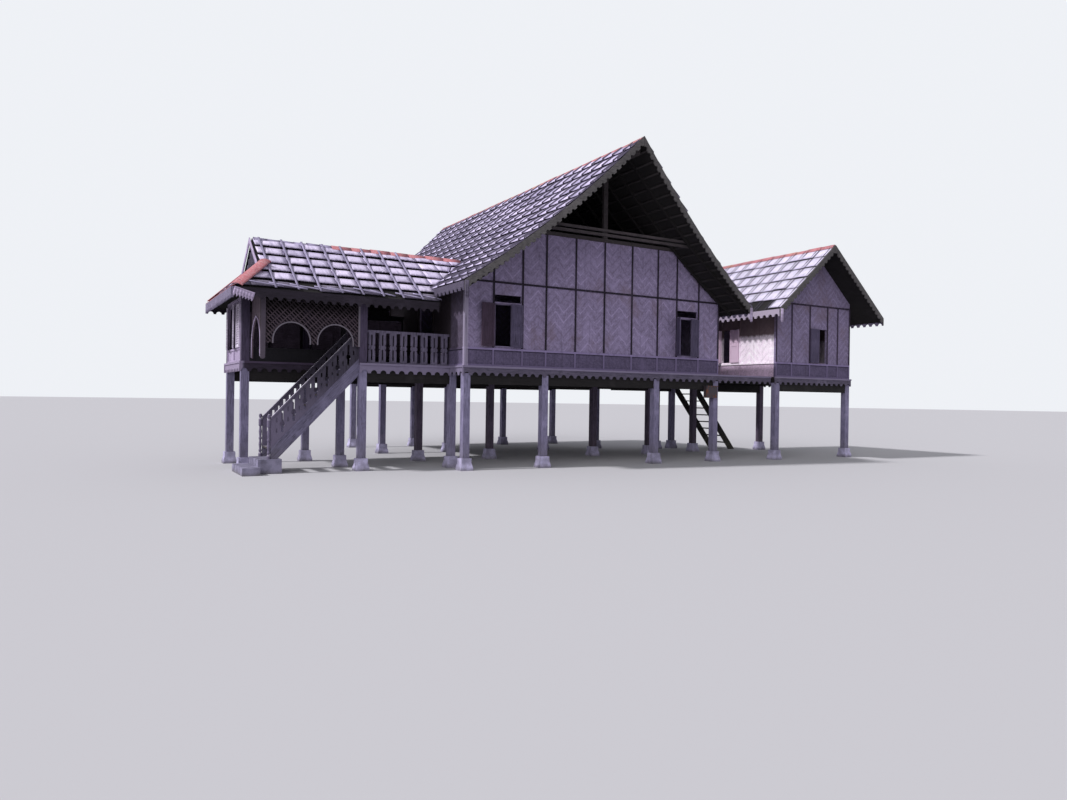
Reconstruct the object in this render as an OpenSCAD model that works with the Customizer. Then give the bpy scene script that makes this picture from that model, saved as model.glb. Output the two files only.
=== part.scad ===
// Timber stilt house: a gabled main house, a hipped stair porch on its left and a small kitchen on its right.
// The origin is the foot of the main house's near left post: +X runs along the gable front, +Y goes back.

/* [Main house] */
// Width between the centres of the corner posts
main_w = 7435; // [6000:5:9000]
// Depth between the centres of the corner posts
main_l = 8400; // [6000:50:10500]
// Height of the finished floor above the ground
floor_h = 2350; // [1800:10:2800]
// Distance from the corner post to the next post of the gable front
side_bay = 2040; // [1700:10:2400]
// Number of bays between the post rows, front to back
row_bays = 3; // [2:1:4]
// Side of the square posts
post_s = 165; // [120:5:200]
// Side of the panel frames between battens at the windows
window_w = 710; // [500:10:760]
// Clear height of the window opening
window_h = 990; // [700:10:1100]
// Height of the dado's top rail above the floor
dado_h = 422; // [300:2:600]
// Height of the middle rail above the floor
rail_h = 1954; // [1750:2:2100]
// Thickness of the wall panels
wall_t = 60; // [40:5:90]
// How far battens, rails and frames stand out from the panels
batten_d = 20; // [12:1:30]
// Width of battens and rails
batten_w = 45; // [30:5:80]

/* [Main roof] */
// Height of the roof surface at the eaves above the floor
eave_rise = 1750; // [1720:10:2050]
// Slope at the eaves, rise over run
eave_pitch = 0.66; // [0.5:0.01:0.8]
// Extra height at the ridge from the hollow of the main roof's slopes
roof_hollow = 842; // [0:10:1300]
// Eaves overhang beyond the centre of the corner posts
eave_out = 470; // [300:10:600]
// Gable overhang at the eaves beyond the centre of the corner posts
verge_low = 890; // [500:10:1200]
// Gable overhang at the ridge beyond the centre of the corner posts
verge_top = 1550; // [900:10:1800]
// Vertical thickness of the covering with its battens
roof_t = 110; // [80:5:160]
// Depth of the rafters below the covering
rafter_d = 80; // [50:5:120]
// Height of the gable tie's underside above the floor
tie_rise = 3170; // [2900:10:3450]

/* [Porch] */
// Length from the main house's corner post to the end posts
porch_l = 4410; // [4200:10:5000]
// Distance from the main corner post to the inner porch post
porch_bay = 2140; // [1900:10:2300]
// Distance from the main corner posts' line to the middle post of the porch's back row
porch_back_bay = 2640; // [2200:10:2900]
// Distance from the main house's front posts back to the porch's front posts
porch_y = 760; // [500:10:1200]
// Depth of the porch between its front and back posts
porch_d = 2950; // [2600:10:3400]
// How far the left bay stands back behind the stair
stair_well = 1060; // [950:10:1200]
// Height of the porch roof's surface at its eaves above the floor
porch_eave_rise = 1405; // [1380:5:1480]
// Eaves overhang beyond the centre of the porch's posts
porch_eave_out = 380; // [250:10:500]
// Height of the porch's ridge above the floor
porch_ridge_rise = 2750; // [2450:10:3050]
// Width in plan of the sloping end of the porch roof
hip_run = 670; // [500:10:900]
// Height of the porch balustrade's rail above the floor
rail_top = 740; // [650:10:950]
// Height of the porch's window sills above the floor
porch_sill = 310; // [250:5:450]
// Clear height of the porch's window openings
porch_window_h = 950; // [800:10:1020]
// Number of flat cut-out balusters in the porch front
baluster_n = 8; // [5:1:9]

/* [Screen and scallops] */
// Radius of the round arches in the lattice screen
arch_r = 370; // [300:5:390]
// Height of the arch feet above the floor
arch_foot = 350; // [250:10:500]
// Spacing of the lattice's slats
slat_pitch = 60; // [50:1:90]
// Width of one lattice slat
slat_w = 22; // [14:1:30]
// Spacing of the scallops on trims and eaves boards
scallop_pitch = 212; // [160:2:260]
// Radius of one scallop
scallop_r = 72; // [50:1:78]
// Spacing of the scallops along the porch's eaves
porch_scallop = 186; // [160:2:240]
// Spacing in plan of the scallops along the bargeboards
verge_scallop = 120; // [90:2:200]
// Depth of the main roof's bargeboards
verge_board_h = 185; // [150:5:280]
// Depth of the kitchen's bargeboards
kitchen_board_h = 190; // [150:5:260]

/* [Stair] */
// Number of risers from the base block to the porch floor
riser_n = 9; // [8:1:11]
// Height of the concrete base block
base_h = 300; // [200:10:350]
// Width of the flight between the stringers' outer faces
stair_w = 930; // [800:5:930]
// Depth of a stringer, square to its slope
stringer_d = 255; // [220:5:300]
// Horizontal length of the flight
stair_run = 1960; // [1800:10:2050]

/* [Kitchen and deck] */
// Distance from the main house's right posts to the kitchen's left posts
deck_w = 2195; // [1500:5:3000]
// Width of the kitchen between its corner posts
kitchen_w = 2990; // [2500:10:3600]
// Depth of the kitchen between its corner posts
kitchen_l = 3440; // [3000:10:3900]
// How far the kitchen's front posts stand before the main house's
kitchen_y = -160; // [-400:10:0]
// Height of the kitchen roof at its eaves above the floor
kitchen_eave_rise = 1810; // [1700:10:1950]
// Height of the kitchen's ridge above the floor
kitchen_ridge_rise = 3770; // [3450:10:4050]
// Eaves overhang beyond the centre of the kitchen's posts
kitchen_eave_out = 690; // [500:10:800]
// Gable overhang beyond the centre of the kitchen's posts
kitchen_verge = 760; // [500:10:900]
// Depth of the deck behind the front edge
deck_l = 5000; // [4700:10:5400]
// Depth of the rear landing behind the kitchen
landing_d = 1100; // [1000:10:1300]

/* [Hidden] */

// clearance between pieces that sit on or against each other
seat = 0.3;
hp = post_s / 2;

// floor build-up
board_t = 40;
joist_h = 130;
joist_w = 80;
bearer_h = 240;
bearer_w = 120;
joist_gap = 620;
joist_z = floor_h - board_t - joist_h;
bearer_z = joist_z - bearer_h;
// concrete feet, with the heights of their foot and of their waist as parts of the whole
ped_h = 270;
ped_low = 300;
ped_top = 240;
ped_foot = 0.2;
ped_waist = 0.62;

// columns of posts, left to right, and rows, front to back
main_cols = [0, side_bay, main_w - side_bay, main_w];
main_rows = [for (i = [0:row_bays]) i * main_l / row_bays];
porch_y1 = porch_y + stair_well;
porch_y2 = porch_y + porch_d;
kitchen_x = main_w + deck_w;
kitchen_x2 = kitchen_x + kitchen_w;
kitchen_y2 = kitchen_y + kitchen_l;
deck_y0 = -hp;
deck_y2 = deck_y0 + deck_l;
landing_lap = 500;
landing_x = kitchen_x + landing_lap;
porch_tall = [[-porch_bay, porch_y], [-porch_back_bay, porch_y2], [-porch_l, porch_y2], [-porch_l, porch_y1]];
porch_short = [[0, porch_y], [-porch_bay - post_s, porch_y1]];
deck_points = [[kitchen_x - hp - post_s, deck_y2 - hp], [landing_x - hp, deck_y2 - hp]];
kitchen_points = [[kitchen_x, kitchen_y], [kitchen_x2, kitchen_y],
    [kitchen_x, kitchen_y2], [kitchen_x2, kitchen_y2]];

// heights above the ground
eave_z = floor_h + eave_rise;
tie_z = floor_h + tie_rise;
porch_eave_z = floor_h + porch_eave_rise;
porch_ridge_z = floor_h + porch_ridge_rise;
kitchen_eave_z = floor_h + kitchen_eave_rise;
kitchen_ridge_z = floor_h + kitchen_ridge_rise;

// main roof, as [distance in from the eaves, height] from the eaves to the ridge
roof_half = main_w / 2 + eave_out;
roof_steps = 8;
function curve_z(u) = eave_z + eave_pitch * u + roof_hollow * pow(u / roof_half, 2);
main_pts = [for (i = [0:roof_steps]) let (u = roof_half * i / roof_steps) [u, curve_z(u)]];
ridge_z = curve_z(roof_half);
verge_angle = atan((verge_top - verge_low) / roof_half);

// kitchen roof, in the same form
kitchen_half = kitchen_w / 2 + kitchen_eave_out;
kitchen_pts = [[0, kitchen_eave_z], [kitchen_half, kitchen_ridge_z]];
kitchen_roof_t = 90;

// porch roof
porch_mid = (porch_y + porch_y2) / 2;
porch_span = porch_d / 2 + porch_eave_out;
porch_pts = [[0, porch_eave_z], [porch_span, porch_ridge_z]];
porch_pitch = (porch_ridge_z - porch_eave_z) / porch_span;
porch_roof_t = 90;
gablet_in = 180;
gablet_x = -porch_l + gablet_in;
hip_x = gablet_x - hip_run;
hip_rise = hip_run;
gablet_half = porch_span - hip_rise / porch_pitch;

// windows, placed from the inner posts of the gable front
win_out = 1015;
sill_gap = 30;
win_x = [side_bay - win_out, main_w - side_bay + win_out];
win_sill = floor_h + dado_h + sill_gap;
win_top = win_sill + window_h;
vent_gap = 40;
vent_h = 170;
leaf_t = 30;
wall_top_z = curve_z(eave_out - hp) - roof_t - rafter_d - seat;

color_wood = [0.45, 0.41, 0.45];
color_dark = [0.22, 0.19, 0.21];
color_roof = [0.62, 0.59, 0.68];
color_stone = [0.66, 0.68, 0.74];
color_cap = [0.72, 0.36, 0.30];
color_pale = [0.66, 0.62, 0.66];

// a list turned back to front
function flipped(list) = [for (i = [len(list) - 1:-1:0]) list[i]];
// a roof line lowered by drop
function lowered(pts, drop) = [for (p = pts) [p[0], p[1] - drop]];
// both slopes of a roof line, from one eave over the ridge to the other
function both(pts) = let (span = 2 * pts[len(pts) - 1][0])
    concat(pts, [for (i = [len(pts) - 2:-1:0]) [span - pts[i][0], pts[i][1]]]);
// height of a roof line at a distance in from its eaves
function line_z(pts, u) = let (n = len(pts) - 1, s = pts[n][0] / n,
    i = min(n - 1, max(0, floor(u / s)))) pts[i][1] + (u - pts[i][0])
    * (pts[i + 1][1] - pts[i][1]) / s;

// everything under a gabled roof, seen along its ridge
module under_roof(pts, drop) {
    line = lowered(both(pts), drop);
    span = line[len(line) - 1][0];
    polygon(concat([[0, 0]], line, [[span, 0]]));
}
// one slope of a roof as a flat outline with a vertical thickness
module slope_outline(pts, t) {
    polygon(concat(pts, flipped(lowered(pts, t))));
}
// an outline in X and Z pushed back along Y from y0 to y1
module push_y(y0, y1) {
    translate([0, y1, 0])
        rotate([90, 0, 0])
            linear_extrude(height = y1 - y0)
                children();
}
// an outline in Y and Z pushed along X from x0 to x1
module push_x(x0, x1) {
    translate([x0, 0, 0])
        rotate([90, 0, 90])
            linear_extrude(height = x1 - x0)
                children();
}
module box(a, b) {
    translate(a)
        cube(b - a);
}
// tapered concrete foot
module pedestal() {
    side = [[-ped_low / 2, 0], [ped_low / 2, 0], [ped_low / 2, ped_h * ped_foot],
        [ped_top / 2, ped_h * ped_waist],
        [ped_top / 2, ped_h], [-ped_top / 2, ped_h], [-ped_top / 2, ped_h * ped_waist],
        [-ped_low / 2, ped_h * ped_foot]];
    intersection() {
        push_y(-ped_low, ped_low)
            polygon(side);
        push_x(-ped_low, ped_low)
            polygon(side);
    }
}
module post(p, z0, z1) {
    box([p[0] - hp, p[1] - hp, z0], [p[0] + hp, p[1] + hp, z1]);
}
// outline of a board with scallops along its lower edge, hanging down from z = 0
module scalloped(length, height, pitch = scallop_pitch) {
    n = max(1, round(length / pitch));
    step = length / n;
    difference() {
        translate([0, -height])
            square([length, height]);
        for (i = [0:n - 1])
            translate([(i + 0.5) * step, -height])
                circle(r = scallop_r * step / scallop_pitch);
    }
}
// outline of a flat baluster with paired legs and a knot in the middle
module baluster_outline(w, h) {
    slot_w = w * 0.24;
    knot = w * 0.52;
    difference() {
        translate([-w / 2, 0])
            square([w, h]);
        for (side = [-1, 1])
            for (z = [h / 2 - knot * 0.62, h / 2 + knot * 0.62])
                translate([side * w / 2, z])
                    circle(r = w * 0.13);
        for (z = [h * 0.1, h / 2 + knot * 0.55])
            translate([-slot_w / 2, z])
                square([slot_w, h * 0.4 - knot * 0.55]);
    }
}

module pedestals() {
    color(color_stone) {
        for (x = main_cols)
            for (y = main_rows)
                translate([x, y, 0])
                    pedestal();
        for (p = concat(porch_tall, porch_short, kitchen_points, deck_points))
            translate([p[0], p[1], 0])
                pedestal();
    }
}

module main_posts() {
    color(color_wood)
        for (x = main_cols)
            for (y = main_rows)
                post([x, y], ped_h + seat, joist_z - seat);
}

// bearers along X between posts, cut where the posts stand
module bearers_x(x0, x1, rows, points) {
    difference() {
        for (y = rows)
            box([x0, y - bearer_w / 2, bearer_z], [x1, y + bearer_w / 2, joist_z - seat]);
        for (p = points)
            box([p[0] - hp - seat, p[1] - hp - 1, 0], [p[0] + hp + seat, p[1] + hp + 1, floor_h]);
    }
}
// joists along Y between two edge joists along X
module joists_y(x0, x1, y0, y1) {
    n = max(1, round((x1 - x0 - joist_w) / joist_gap));
    for (i = [0:n])
        let (x = x0 + i * (x1 - x0 - joist_w) / n)
            box([x, y0 + joist_w + seat, joist_z],
                [x + joist_w, y1 - joist_w - seat, joist_z + joist_h - seat]);
    for (y = [y0, y1 - joist_w])
        box([x0, y, joist_z], [x1, y + joist_w, joist_z + joist_h - seat]);
}

module main_floor_frame() {
    color(color_dark) {
        bearers_x(-hp, main_w + hp, main_rows, [for (x = main_cols) for (y = main_rows) [x, y]]);
        joists_y(-hp, main_w + hp, -hp, main_l + hp);
    }
}

module main_floor() {
    color(color_dark)
        box([-hp, -hp, floor_h - board_t], [main_w + hp, main_l + hp, floor_h]);
}

// window and its vent light, cut through a wall outline
module window_cut(x, w, vent = true) {
    translate([x - w / 2, win_sill])
        square([w, window_h]);
    if (vent)
        translate([x - w / 2, win_top + vent_gap])
            square([w, vent_h]);
}
// battens and rails of a wall, as an outline
module grid_outline(length, battens, rails, top) {
    for (x = battens)
        translate([x - batten_w / 2, floor_h + seat])
            square([batten_w, top - floor_h]);
    for (z = rails)
        translate([-hp, z - batten_w])
            square([length + 2 * hp, batten_w]);
}
panel_w = 830;
gable_battens = [-hp + batten_w / 2, win_x[0] - window_w / 2 - batten_w / 2,
    win_x[0] + window_w / 2 + batten_w / 2, side_bay, side_bay + panel_w, main_w / 2,
    main_w - side_bay - panel_w, main_w - side_bay, win_x[1] - window_w / 2 - batten_w / 2,
    win_x[1] + window_w / 2 + batten_w / 2, main_w + hp - batten_w / 2];
wall_rails = [floor_h + batten_w + seat, floor_h + dado_h, floor_h + rail_h];

// gable wall: panel plus its battens on the outer side
module gable_wall_solid() {
    face = -hp + batten_d;
    push_y(face, face + wall_t)
        difference() {
            intersection() {
                translate([-hp, floor_h + seat])
                    square([main_w + 2 * hp, tie_z - floor_h - 2 * seat]);
                translate([-eave_out, 0])
                    under_roof(main_pts, roof_t + seat);
            }
            for (x = win_x)
                window_cut(x, window_w);
        }
    push_y(-hp, face)
        difference() {
            intersection() {
                grid_outline(main_w, gable_battens, wall_rails, tie_z - 2 * seat);
                translate([-hp, floor_h + seat])
                    square([main_w + 2 * hp, tie_z - floor_h - 2 * seat]);
                translate([-eave_out, 0])
                    under_roof(main_pts, roof_t + seat);
            }
            for (x = win_x)
                window_cut(x, window_w);
        }
}
module front_wall() {
    color(color_wood)
        gable_wall_solid();
}
module back_wall() {
    color(color_wood)
        translate([main_w, main_l, 0])
            rotate([0, 0, 180])
                gable_wall_solid();
}

// side wall with its own windows and one doorway, along X from 0 to length, outer face towards -Y
door_w = 900;
door_h = 1700;
module side_wall_solid(length, windows, door, top, vent = true) {
    inset = batten_d + wall_t + seat;
    face = -hp + batten_d;
    battens = concat([for (x = windows) for (s = [-1, 1]) x + s * (window_w + batten_w) / 2],
        [for (s = [-1, 1]) door + s * (door_w + batten_w) / 2]);
    module holes() {
        for (x = windows)
            window_cut(x, window_w, vent);
        translate([door - door_w / 2, 0])
            square([door_w, floor_h + door_h]);
    }
    push_y(face, face + wall_t)
        difference() {
            translate([-hp + inset, floor_h + seat])
                square([length + 2 * hp - 2 * inset, top - floor_h - seat]);
            holes();
        }
    push_y(-hp, face)
        difference() {
            intersection() {
                union() {
                    grid_outline(length, battens, wall_rails, top);
                    translate([door - door_w / 2, floor_h + door_h])
                        square([door_w, batten_w]);
                }
                translate([-hp + inset, floor_h + seat])
                    square([length + 2 * hp - 2 * inset, top - floor_h - seat]);
            }
            holes();
        }
}
side_windows = [main_l * 0.62, main_l * 0.87];
porch_door = porch_mid;
deck_door = main_l * 0.4;
module left_wall() {
    color(color_wood)
        translate([0, main_l, 0])
            rotate([0, 0, -90])
                side_wall_solid(main_l, [for (y = side_windows) main_l - y], main_l - porch_door, wall_top_z);
}
module right_wall() {
    color(color_wood)
        translate([main_w, 0, 0])
            rotate([0, 0, 90])
                side_wall_solid(main_l, side_windows, deck_door, wall_top_z);
}

// tie beam and king post over the wall, and a double rail between the slopes under the overhang
tie_h = 90;
rail_out = 600;
rail_s = 60;
rail_drop = 10;
king_w = 120;
ridge_beam_h = 140;
ridge_beam_drop = 20;
ridge_beam_in = 200;
beam_top = ridge_z - roof_t - rafter_d - ridge_beam_drop;
module slope_span(z, h) {
    intersection() {
        translate([-hp, z])
            square([main_w + 2 * hp, h]);
        translate([-eave_out, 0])
            under_roof(main_pts, roof_t + seat);
    }
}
module gable_frame() {
    y1 = -hp + batten_d + wall_t;
    push_y(-hp, y1)
        slope_span(tie_z, tie_h);
    box([(main_w - king_w) / 2, -hp, tie_z + tie_h + seat],
        [(main_w + king_w) / 2, y1, beam_top - ridge_beam_h - seat]);
    for (z = [tie_z - rail_drop, tie_z + tie_h + rail_drop / 2])
        push_y(-hp - rail_out - rail_s, -hp - rail_out)
            slope_span(z, rail_s);
}
module gable_frames() {
    color(color_dark) {
        gable_frame();
        translate([main_w, main_l, 0])
            rotate([0, 0, 180])
                gable_frame();
        box([(main_w - king_w) / 2, -verge_top + ridge_beam_in, beam_top - ridge_beam_h],
            [(main_w + king_w) / 2, main_l + verge_top - ridge_beam_in, beam_top]);
    }
}

// framed leaf with two recessed panels, hinged on its left edge, closed along +X
module leaf(w, h, louvred) {
    stile = louvred ? 42 : 55;
    recess = 8;
    mid_z = h * 0.52;
    // the blades overlap when seen from straight ahead
    blade_h = 58;
    blade_t = 4;
    blade_pitch = 51;
    blade_tilt = 27;
    n = ceil((h - 2 * stile) / blade_pitch);
    if (louvred) {
        difference() {
            box([0, 0, 0], [w, leaf_t, h]);
            box([stile, -1, stile], [w - stile, leaf_t + 1, h - stile]);
        }
        for (i = [0:n - 1])
            translate([stile - 1, leaf_t / 2, stile + (i + 0.5) * (h - 2 * stile) / n])
                rotate([-blade_tilt, 0, 0])
                    translate([0, -blade_t / 2, -blade_h / 2])
                        cube([w - 2 * stile + 2, blade_t, blade_h]);
    } else difference() {
        box([0, 0, 0], [w, leaf_t, h]);
        for (z = [[stile, mid_z - stile / 2], [mid_z + stile / 2, h - stile]])
            for (y = [-1, leaf_t - recess])
                box([stile, y, z[0]], [w - stile, y + recess + 1, z[1]]);
    }
}
// pair of leaves in a window, each turned out by its own angle
// a closed leaf laps the frame a little, and a leaf turned past square stands off by its own thickness
leaf_lap = 8;
module leaf_pair(x, w, h, sill, turn_left, turn_right, louvred = false) {
    gap = 2;
    lw = w / 2 + leaf_lap - gap / 2;
    function off(turn) = min(0, leaf_t * cos(turn));
    translate([x - w / 2 - leaf_lap, -hp - seat + off(turn_left), sill + seat])
        rotate([0, 0, -turn_left])
            translate([0, -leaf_t, 0])
                leaf(lw, h - 2 * seat, louvred);
    if (turn_right >= 0)
        translate([x + w / 2 + leaf_lap, -hp - seat + off(turn_right), sill + seat])
            rotate([0, 0, turn_right])
                mirror([1, 0, 0])
                    translate([0, -leaf_t, 0])
                        leaf(lw, h - 2 * seat, louvred);
}
kitchen_win = 1690;
kitchen_side_win = 1720;
module window_shutters() {
    color(color_wood) {
        leaf_pair(win_x[0], window_w, window_h, win_sill, 168, 14);
        leaf_pair(win_x[1], window_w, window_h, win_sill, 116, 16);
        translate([main_w, main_l, 0])
            rotate([0, 0, 180])
                for (x = win_x)
                    leaf_pair(x, window_w, window_h, win_sill, 0, 0);
        translate([0, main_l, 0])
            rotate([0, 0, -90])
                for (y = side_windows)
                    leaf_pair(main_l - y, window_w, window_h, win_sill, 0, 0);
        translate([main_w, 0, 0])
            rotate([0, 0, 90])
                for (y = side_windows)
                    leaf_pair(y, window_w, window_h, win_sill, 0, 0);
        translate([kitchen_x, kitchen_y, 0])
            leaf_pair(kitchen_win, window_w, window_h, win_sill, 0, -1);
        translate([kitchen_x, kitchen_y2, 0])
            rotate([0, 0, -90])
                leaf_pair(kitchen_l - kitchen_side_win, window_w, window_h, win_sill, 112, 0);
    }
}

// one slope of the main roof with its rafters, cut to the slanting verges
module main_slope() {
    y0 = -verge_top;
    y1 = main_l + verge_top;
    rafter_n = 16;
    rafter_w = 60;
    // rafters keep off the eaves, the ridge and the gable walls
    foot_in = 60;
    top_in = 70;
    wall_off = 130;
    intersection() {
        union() {
            translate([-eave_out, 0, 0])
                push_y(y0, y1)
                    slope_outline(main_pts, roof_t);
            for (i = [0:rafter_n])
                let (y = -verge_low + rafter_w + i * (main_l + 2 * verge_low - 3 * rafter_w) / rafter_n)
                    if (abs(y) > wall_off && abs(y - main_l) > wall_off)
                        translate([-eave_out, 0, 0])
                            push_y(y, y + rafter_w)
                                intersection() {
                                    slope_outline(lowered(main_pts, roof_t), rafter_d);
                                    translate([foot_in, 0])
                                        square([roof_half - foot_in - top_in, ridge_z]);
                                }
        }
        linear_extrude(height = ridge_z + 1)
            polygon([[-eave_out, -verge_low], [main_w / 2 - seat / 2, -verge_top],
                [main_w / 2 - seat / 2, main_l + verge_top], [-eave_out, main_l + verge_low]]);
    }
}
module main_roof_left() {
    color(color_roof)
        main_slope();
}
module main_roof_right() {
    color(color_roof)
        translate([main_w, 0, 0])
            mirror([1, 0, 0])
                main_slope();
}

// folded cap over a ridge, following the top stretch of a roof line
cap_t = 25;
module cap_outline(pts, w) {
    n = len(pts) - 1;
    top = pts[n];
    grade = (top[1] - pts[n - 1][1]) / (top[0] - pts[n - 1][0]);
    polygon([[-w, seat - w * grade], [0, seat], [w, seat - w * grade], [w, seat + cap_t - w * grade],
        [0, seat + cap_t], [-w, seat + cap_t - w * grade]]);
}
cap_w = 120;
// the front stretch of the porch's ridge has lost its cap
porch_cap_x = -2460;
porch_cap_end = 870;
cap_in = cap_w * tan(verge_angle) + 5;
// wide folded cap over the sloping corner of the porch roof, its wings flat on both slopes
hip_cap_w = 150;
module hip_cap() {
    length = norm([hip_run, porch_span - gablet_half]);
    slope = atan(hip_rise / length);
    heading = atan2(porch_span - gablet_half, hip_run);
    side = porch_pitch * cos(heading) / (porch_pitch * sin(slope) * sin(heading) + cos(slope));
    end_pitch = hip_rise / hip_run;
    end = end_pitch * sin(heading) / (end_pitch * sin(slope) * cos(heading) + cos(slope));
    w = hip_cap_w;
    intersection() {
        translate([hip_x, porch_mid - porch_span, porch_eave_z])
            rotate([0, -slope, heading])
                push_x(w * 0.2, length / cos(slope) - w)
                    translate([0, seat])
                        polygon([[-w, -w * side], [0, 0], [w, -w * end], [w, cap_t - w * end], [0, cap_t],
                            [-w, cap_t - w * side]]);
        box([hip_x + seat, porch_mid - porch_span + seat, 0], [0, porch_mid, porch_ridge_z]);
    }
}
module ridge_caps() {
    color(color_cap) {
        translate([main_w / 2, 0, ridge_z])
            push_y(-verge_top + cap_in, main_l + verge_top - cap_in)
                cap_outline(main_pts, cap_w);
        difference() {
            translate([porch_cap_x, porch_mid, porch_ridge_z])
                rotate([0, 0, 90])
                    push_y(-porch_cap_end + porch_cap_x, 0)
                        cap_outline(porch_pts, cap_w);
            main_house_space();
        }
        translate([kitchen_x + kitchen_w / 2, 0, kitchen_ridge_z])
            push_y(kitchen_y - kitchen_verge, kitchen_y2 + kitchen_verge)
                cap_outline(kitchen_pts, cap_w);
        hip_cap();
        translate([0, 2 * porch_mid, 0])
            mirror([0, 1, 0])
                hip_cap();
    }
}

// bargeboard along one verge of a roof line: stands just outside the verge, scalloped below
board_rise = 25;
module bargeboard(pts, angle, depth) {
    n = len(pts) - 1;
    k = 1 / cos(angle);
    run = pts[n][0];
    count = round(run / verge_scallop);
    difference() {
        polygon(concat([for (p = pts) [p[0] * k, p[1] + board_rise]],
            flipped([for (p = pts) [p[0] * k, p[1] - depth]])));
        for (i = [0:count - 1])
            let (u = (i + 0.5) * run / count)
                translate([u * k, line_z(pts, u) - depth])
                    circle(r = verge_scallop * 0.36);
    }
}
board_thick = 30;
module main_verge() {
    translate([-eave_out, -verge_low - seat, 0])
        rotate([0, 0, -verge_angle])
            push_y(-board_thick, 0)
                bargeboard(main_pts, verge_angle, verge_board_h);
}
module kitchen_verge_board() {
    translate([kitchen_x - kitchen_eave_out, kitchen_y - kitchen_verge - seat, 0])
        push_y(-board_thick, 0)
            bargeboard(kitchen_pts, 0, kitchen_board_h);
}
module bargeboards() {
    color(color_pale) {
        for (flip = [0, 1])
            translate([flip * main_w, 0, 0])
                mirror([flip, 0, 0]) {
                    main_verge();
                    translate([0, main_l, 0])
                        mirror([0, 1, 0])
                            main_verge();
                }
        for (flip = [0, 1])
            translate([flip * (2 * kitchen_x + kitchen_w), 0, 0])
                mirror([flip, 0, 0]) {
                    kitchen_verge_board();
                    translate([0, 2 * kitchen_y + kitchen_l, 0])
                        mirror([0, 1, 0])
                            kitchen_verge_board();
                }
    }
}

// everything the porch roof fills, with a clearance
module porch_roof_body(grow) {
    push_x(hip_x - grow, main_w / 2)
        translate([porch_mid - porch_span, 0])
            offset_line(porch_pts, grow);
}
// outline under both slopes, raised by grow
module offset_line(pts, grow) {
    line = both(pts);
    span = line[len(line) - 1][0];
    polygon(concat([[-grow, line[0][1] - 300]], [for (p = line) [p[0], p[1] + grow]],
        [[span + grow, line[0][1] - 300]]));
}
eave_board_h = 200;
porch_board_h = 220;
eave_board_rise = 10;
board_stop = 40;
module eave_boards() {
    color(color_pale) {
        difference() {
            translate([-eave_out - seat, main_l + verge_low, eave_z + eave_board_rise])
                rotate([90, 0, -90])
                    linear_extrude(height = board_thick)
                        scalloped(main_l + 2 * verge_low, eave_board_h);
            porch_roof_body(3);
        }
        translate([main_w + eave_out + seat, -verge_low, eave_z + eave_board_rise])
            rotate([90, 0, 90])
                linear_extrude(height = board_thick)
                    scalloped(main_l + 2 * verge_low, eave_board_h);
        for (side = [0, 1])
            translate([kitchen_x - kitchen_eave_out - seat - board_thick
                + side * (2 * kitchen_half + 2 * seat + board_thick),
                kitchen_y - kitchen_verge, kitchen_eave_z + eave_board_rise])
                rotate([90, 0, 90])
                    linear_extrude(height = board_thick)
                        scalloped(kitchen_l + 2 * kitchen_verge, eave_board_h);
        for (y = [porch_mid - porch_span - seat, porch_mid + porch_span + seat + board_thick])
            translate([hip_x, y, porch_eave_z + eave_board_rise])
                rotate([90, 0, 0])
                    linear_extrude(height = board_thick)
                        scalloped(-eave_out - board_stop - hip_x, porch_board_h, porch_scallop);
        translate([hip_x - seat, porch_mid + porch_span, porch_eave_z + eave_board_rise])
            rotate([90, 0, -90])
                linear_extrude(height = board_thick)
                    scalloped(2 * porch_span, porch_board_h, porch_scallop);
    }
}

// projecting sill and scalloped board along one side, from 0 to length, outer face towards -Y
trim_h = 175;
sill_h = 45;
sill_d = 45;
trim_t = 25;
module side_trim(length) {
    translate([0, -seat, floor_h - board_t])
        rotate([90, 0, 0])
            linear_extrude(height = trim_t)
                scalloped(length, trim_h);
    box([0, -seat - sill_d, floor_h - board_t + seat], [length, -seat, floor_h - board_t + sill_h]);
}
module floor_trims() {
    color(color_pale) {
        translate([-hp - sill_d, -hp, 0])
            side_trim(main_w + 2 * hp + 2 * sill_d);
        translate([main_w + hp + sill_d, main_l + hp, 0])
            rotate([0, 0, 180])
                side_trim(main_w + 2 * hp + 2 * sill_d);
        translate([-hp, porch_y - hp - sill_d - 2 * seat, 0])
            rotate([0, 0, -90])
                side_trim(porch_y - sill_d - 3 * seat);
        translate([-hp, main_l + hp - seat, 0])
            rotate([0, 0, -90])
                side_trim(main_l - porch_y2 - sill_d - 3 * seat);
        translate([main_w + hp, deck_y2 + sill_d + 2 * seat, 0])
            rotate([0, 0, 90])
                side_trim(main_l + hp - deck_y2 - sill_d - 3 * seat);
        translate([-porch_bay - hp, porch_y - hp, 0])
            side_trim(porch_bay - 2 * seat);
        translate([-porch_l - hp - sill_d, porch_y1 - hp, 0])
            side_trim(porch_l - porch_bay + sill_d - 2 * seat);
        translate([-porch_l - hp, porch_y2 + hp, 0])
            rotate([0, 0, -90])
                side_trim(porch_y2 - porch_y1 + 2 * hp - seat);
        translate([-hp - 2 * seat, porch_y2 + hp, 0])
            rotate([0, 0, 180])
                side_trim(porch_l + sill_d - 2 * seat);
        translate([kitchen_x - hp - sill_d, kitchen_y - hp, 0])
            side_trim(kitchen_w + 2 * hp + 2 * sill_d);
        translate([kitchen_x2 + hp, kitchen_y - hp + seat, 0])
            rotate([0, 0, 90])
                side_trim(kitchen_l + 2 * hp - 2 * seat);
        translate([main_w + hp + sill_d + 2 * seat, deck_y0, 0])
            side_trim(deck_w - 2 * hp - 2 * sill_d - 4 * seat);
    }
}

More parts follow.
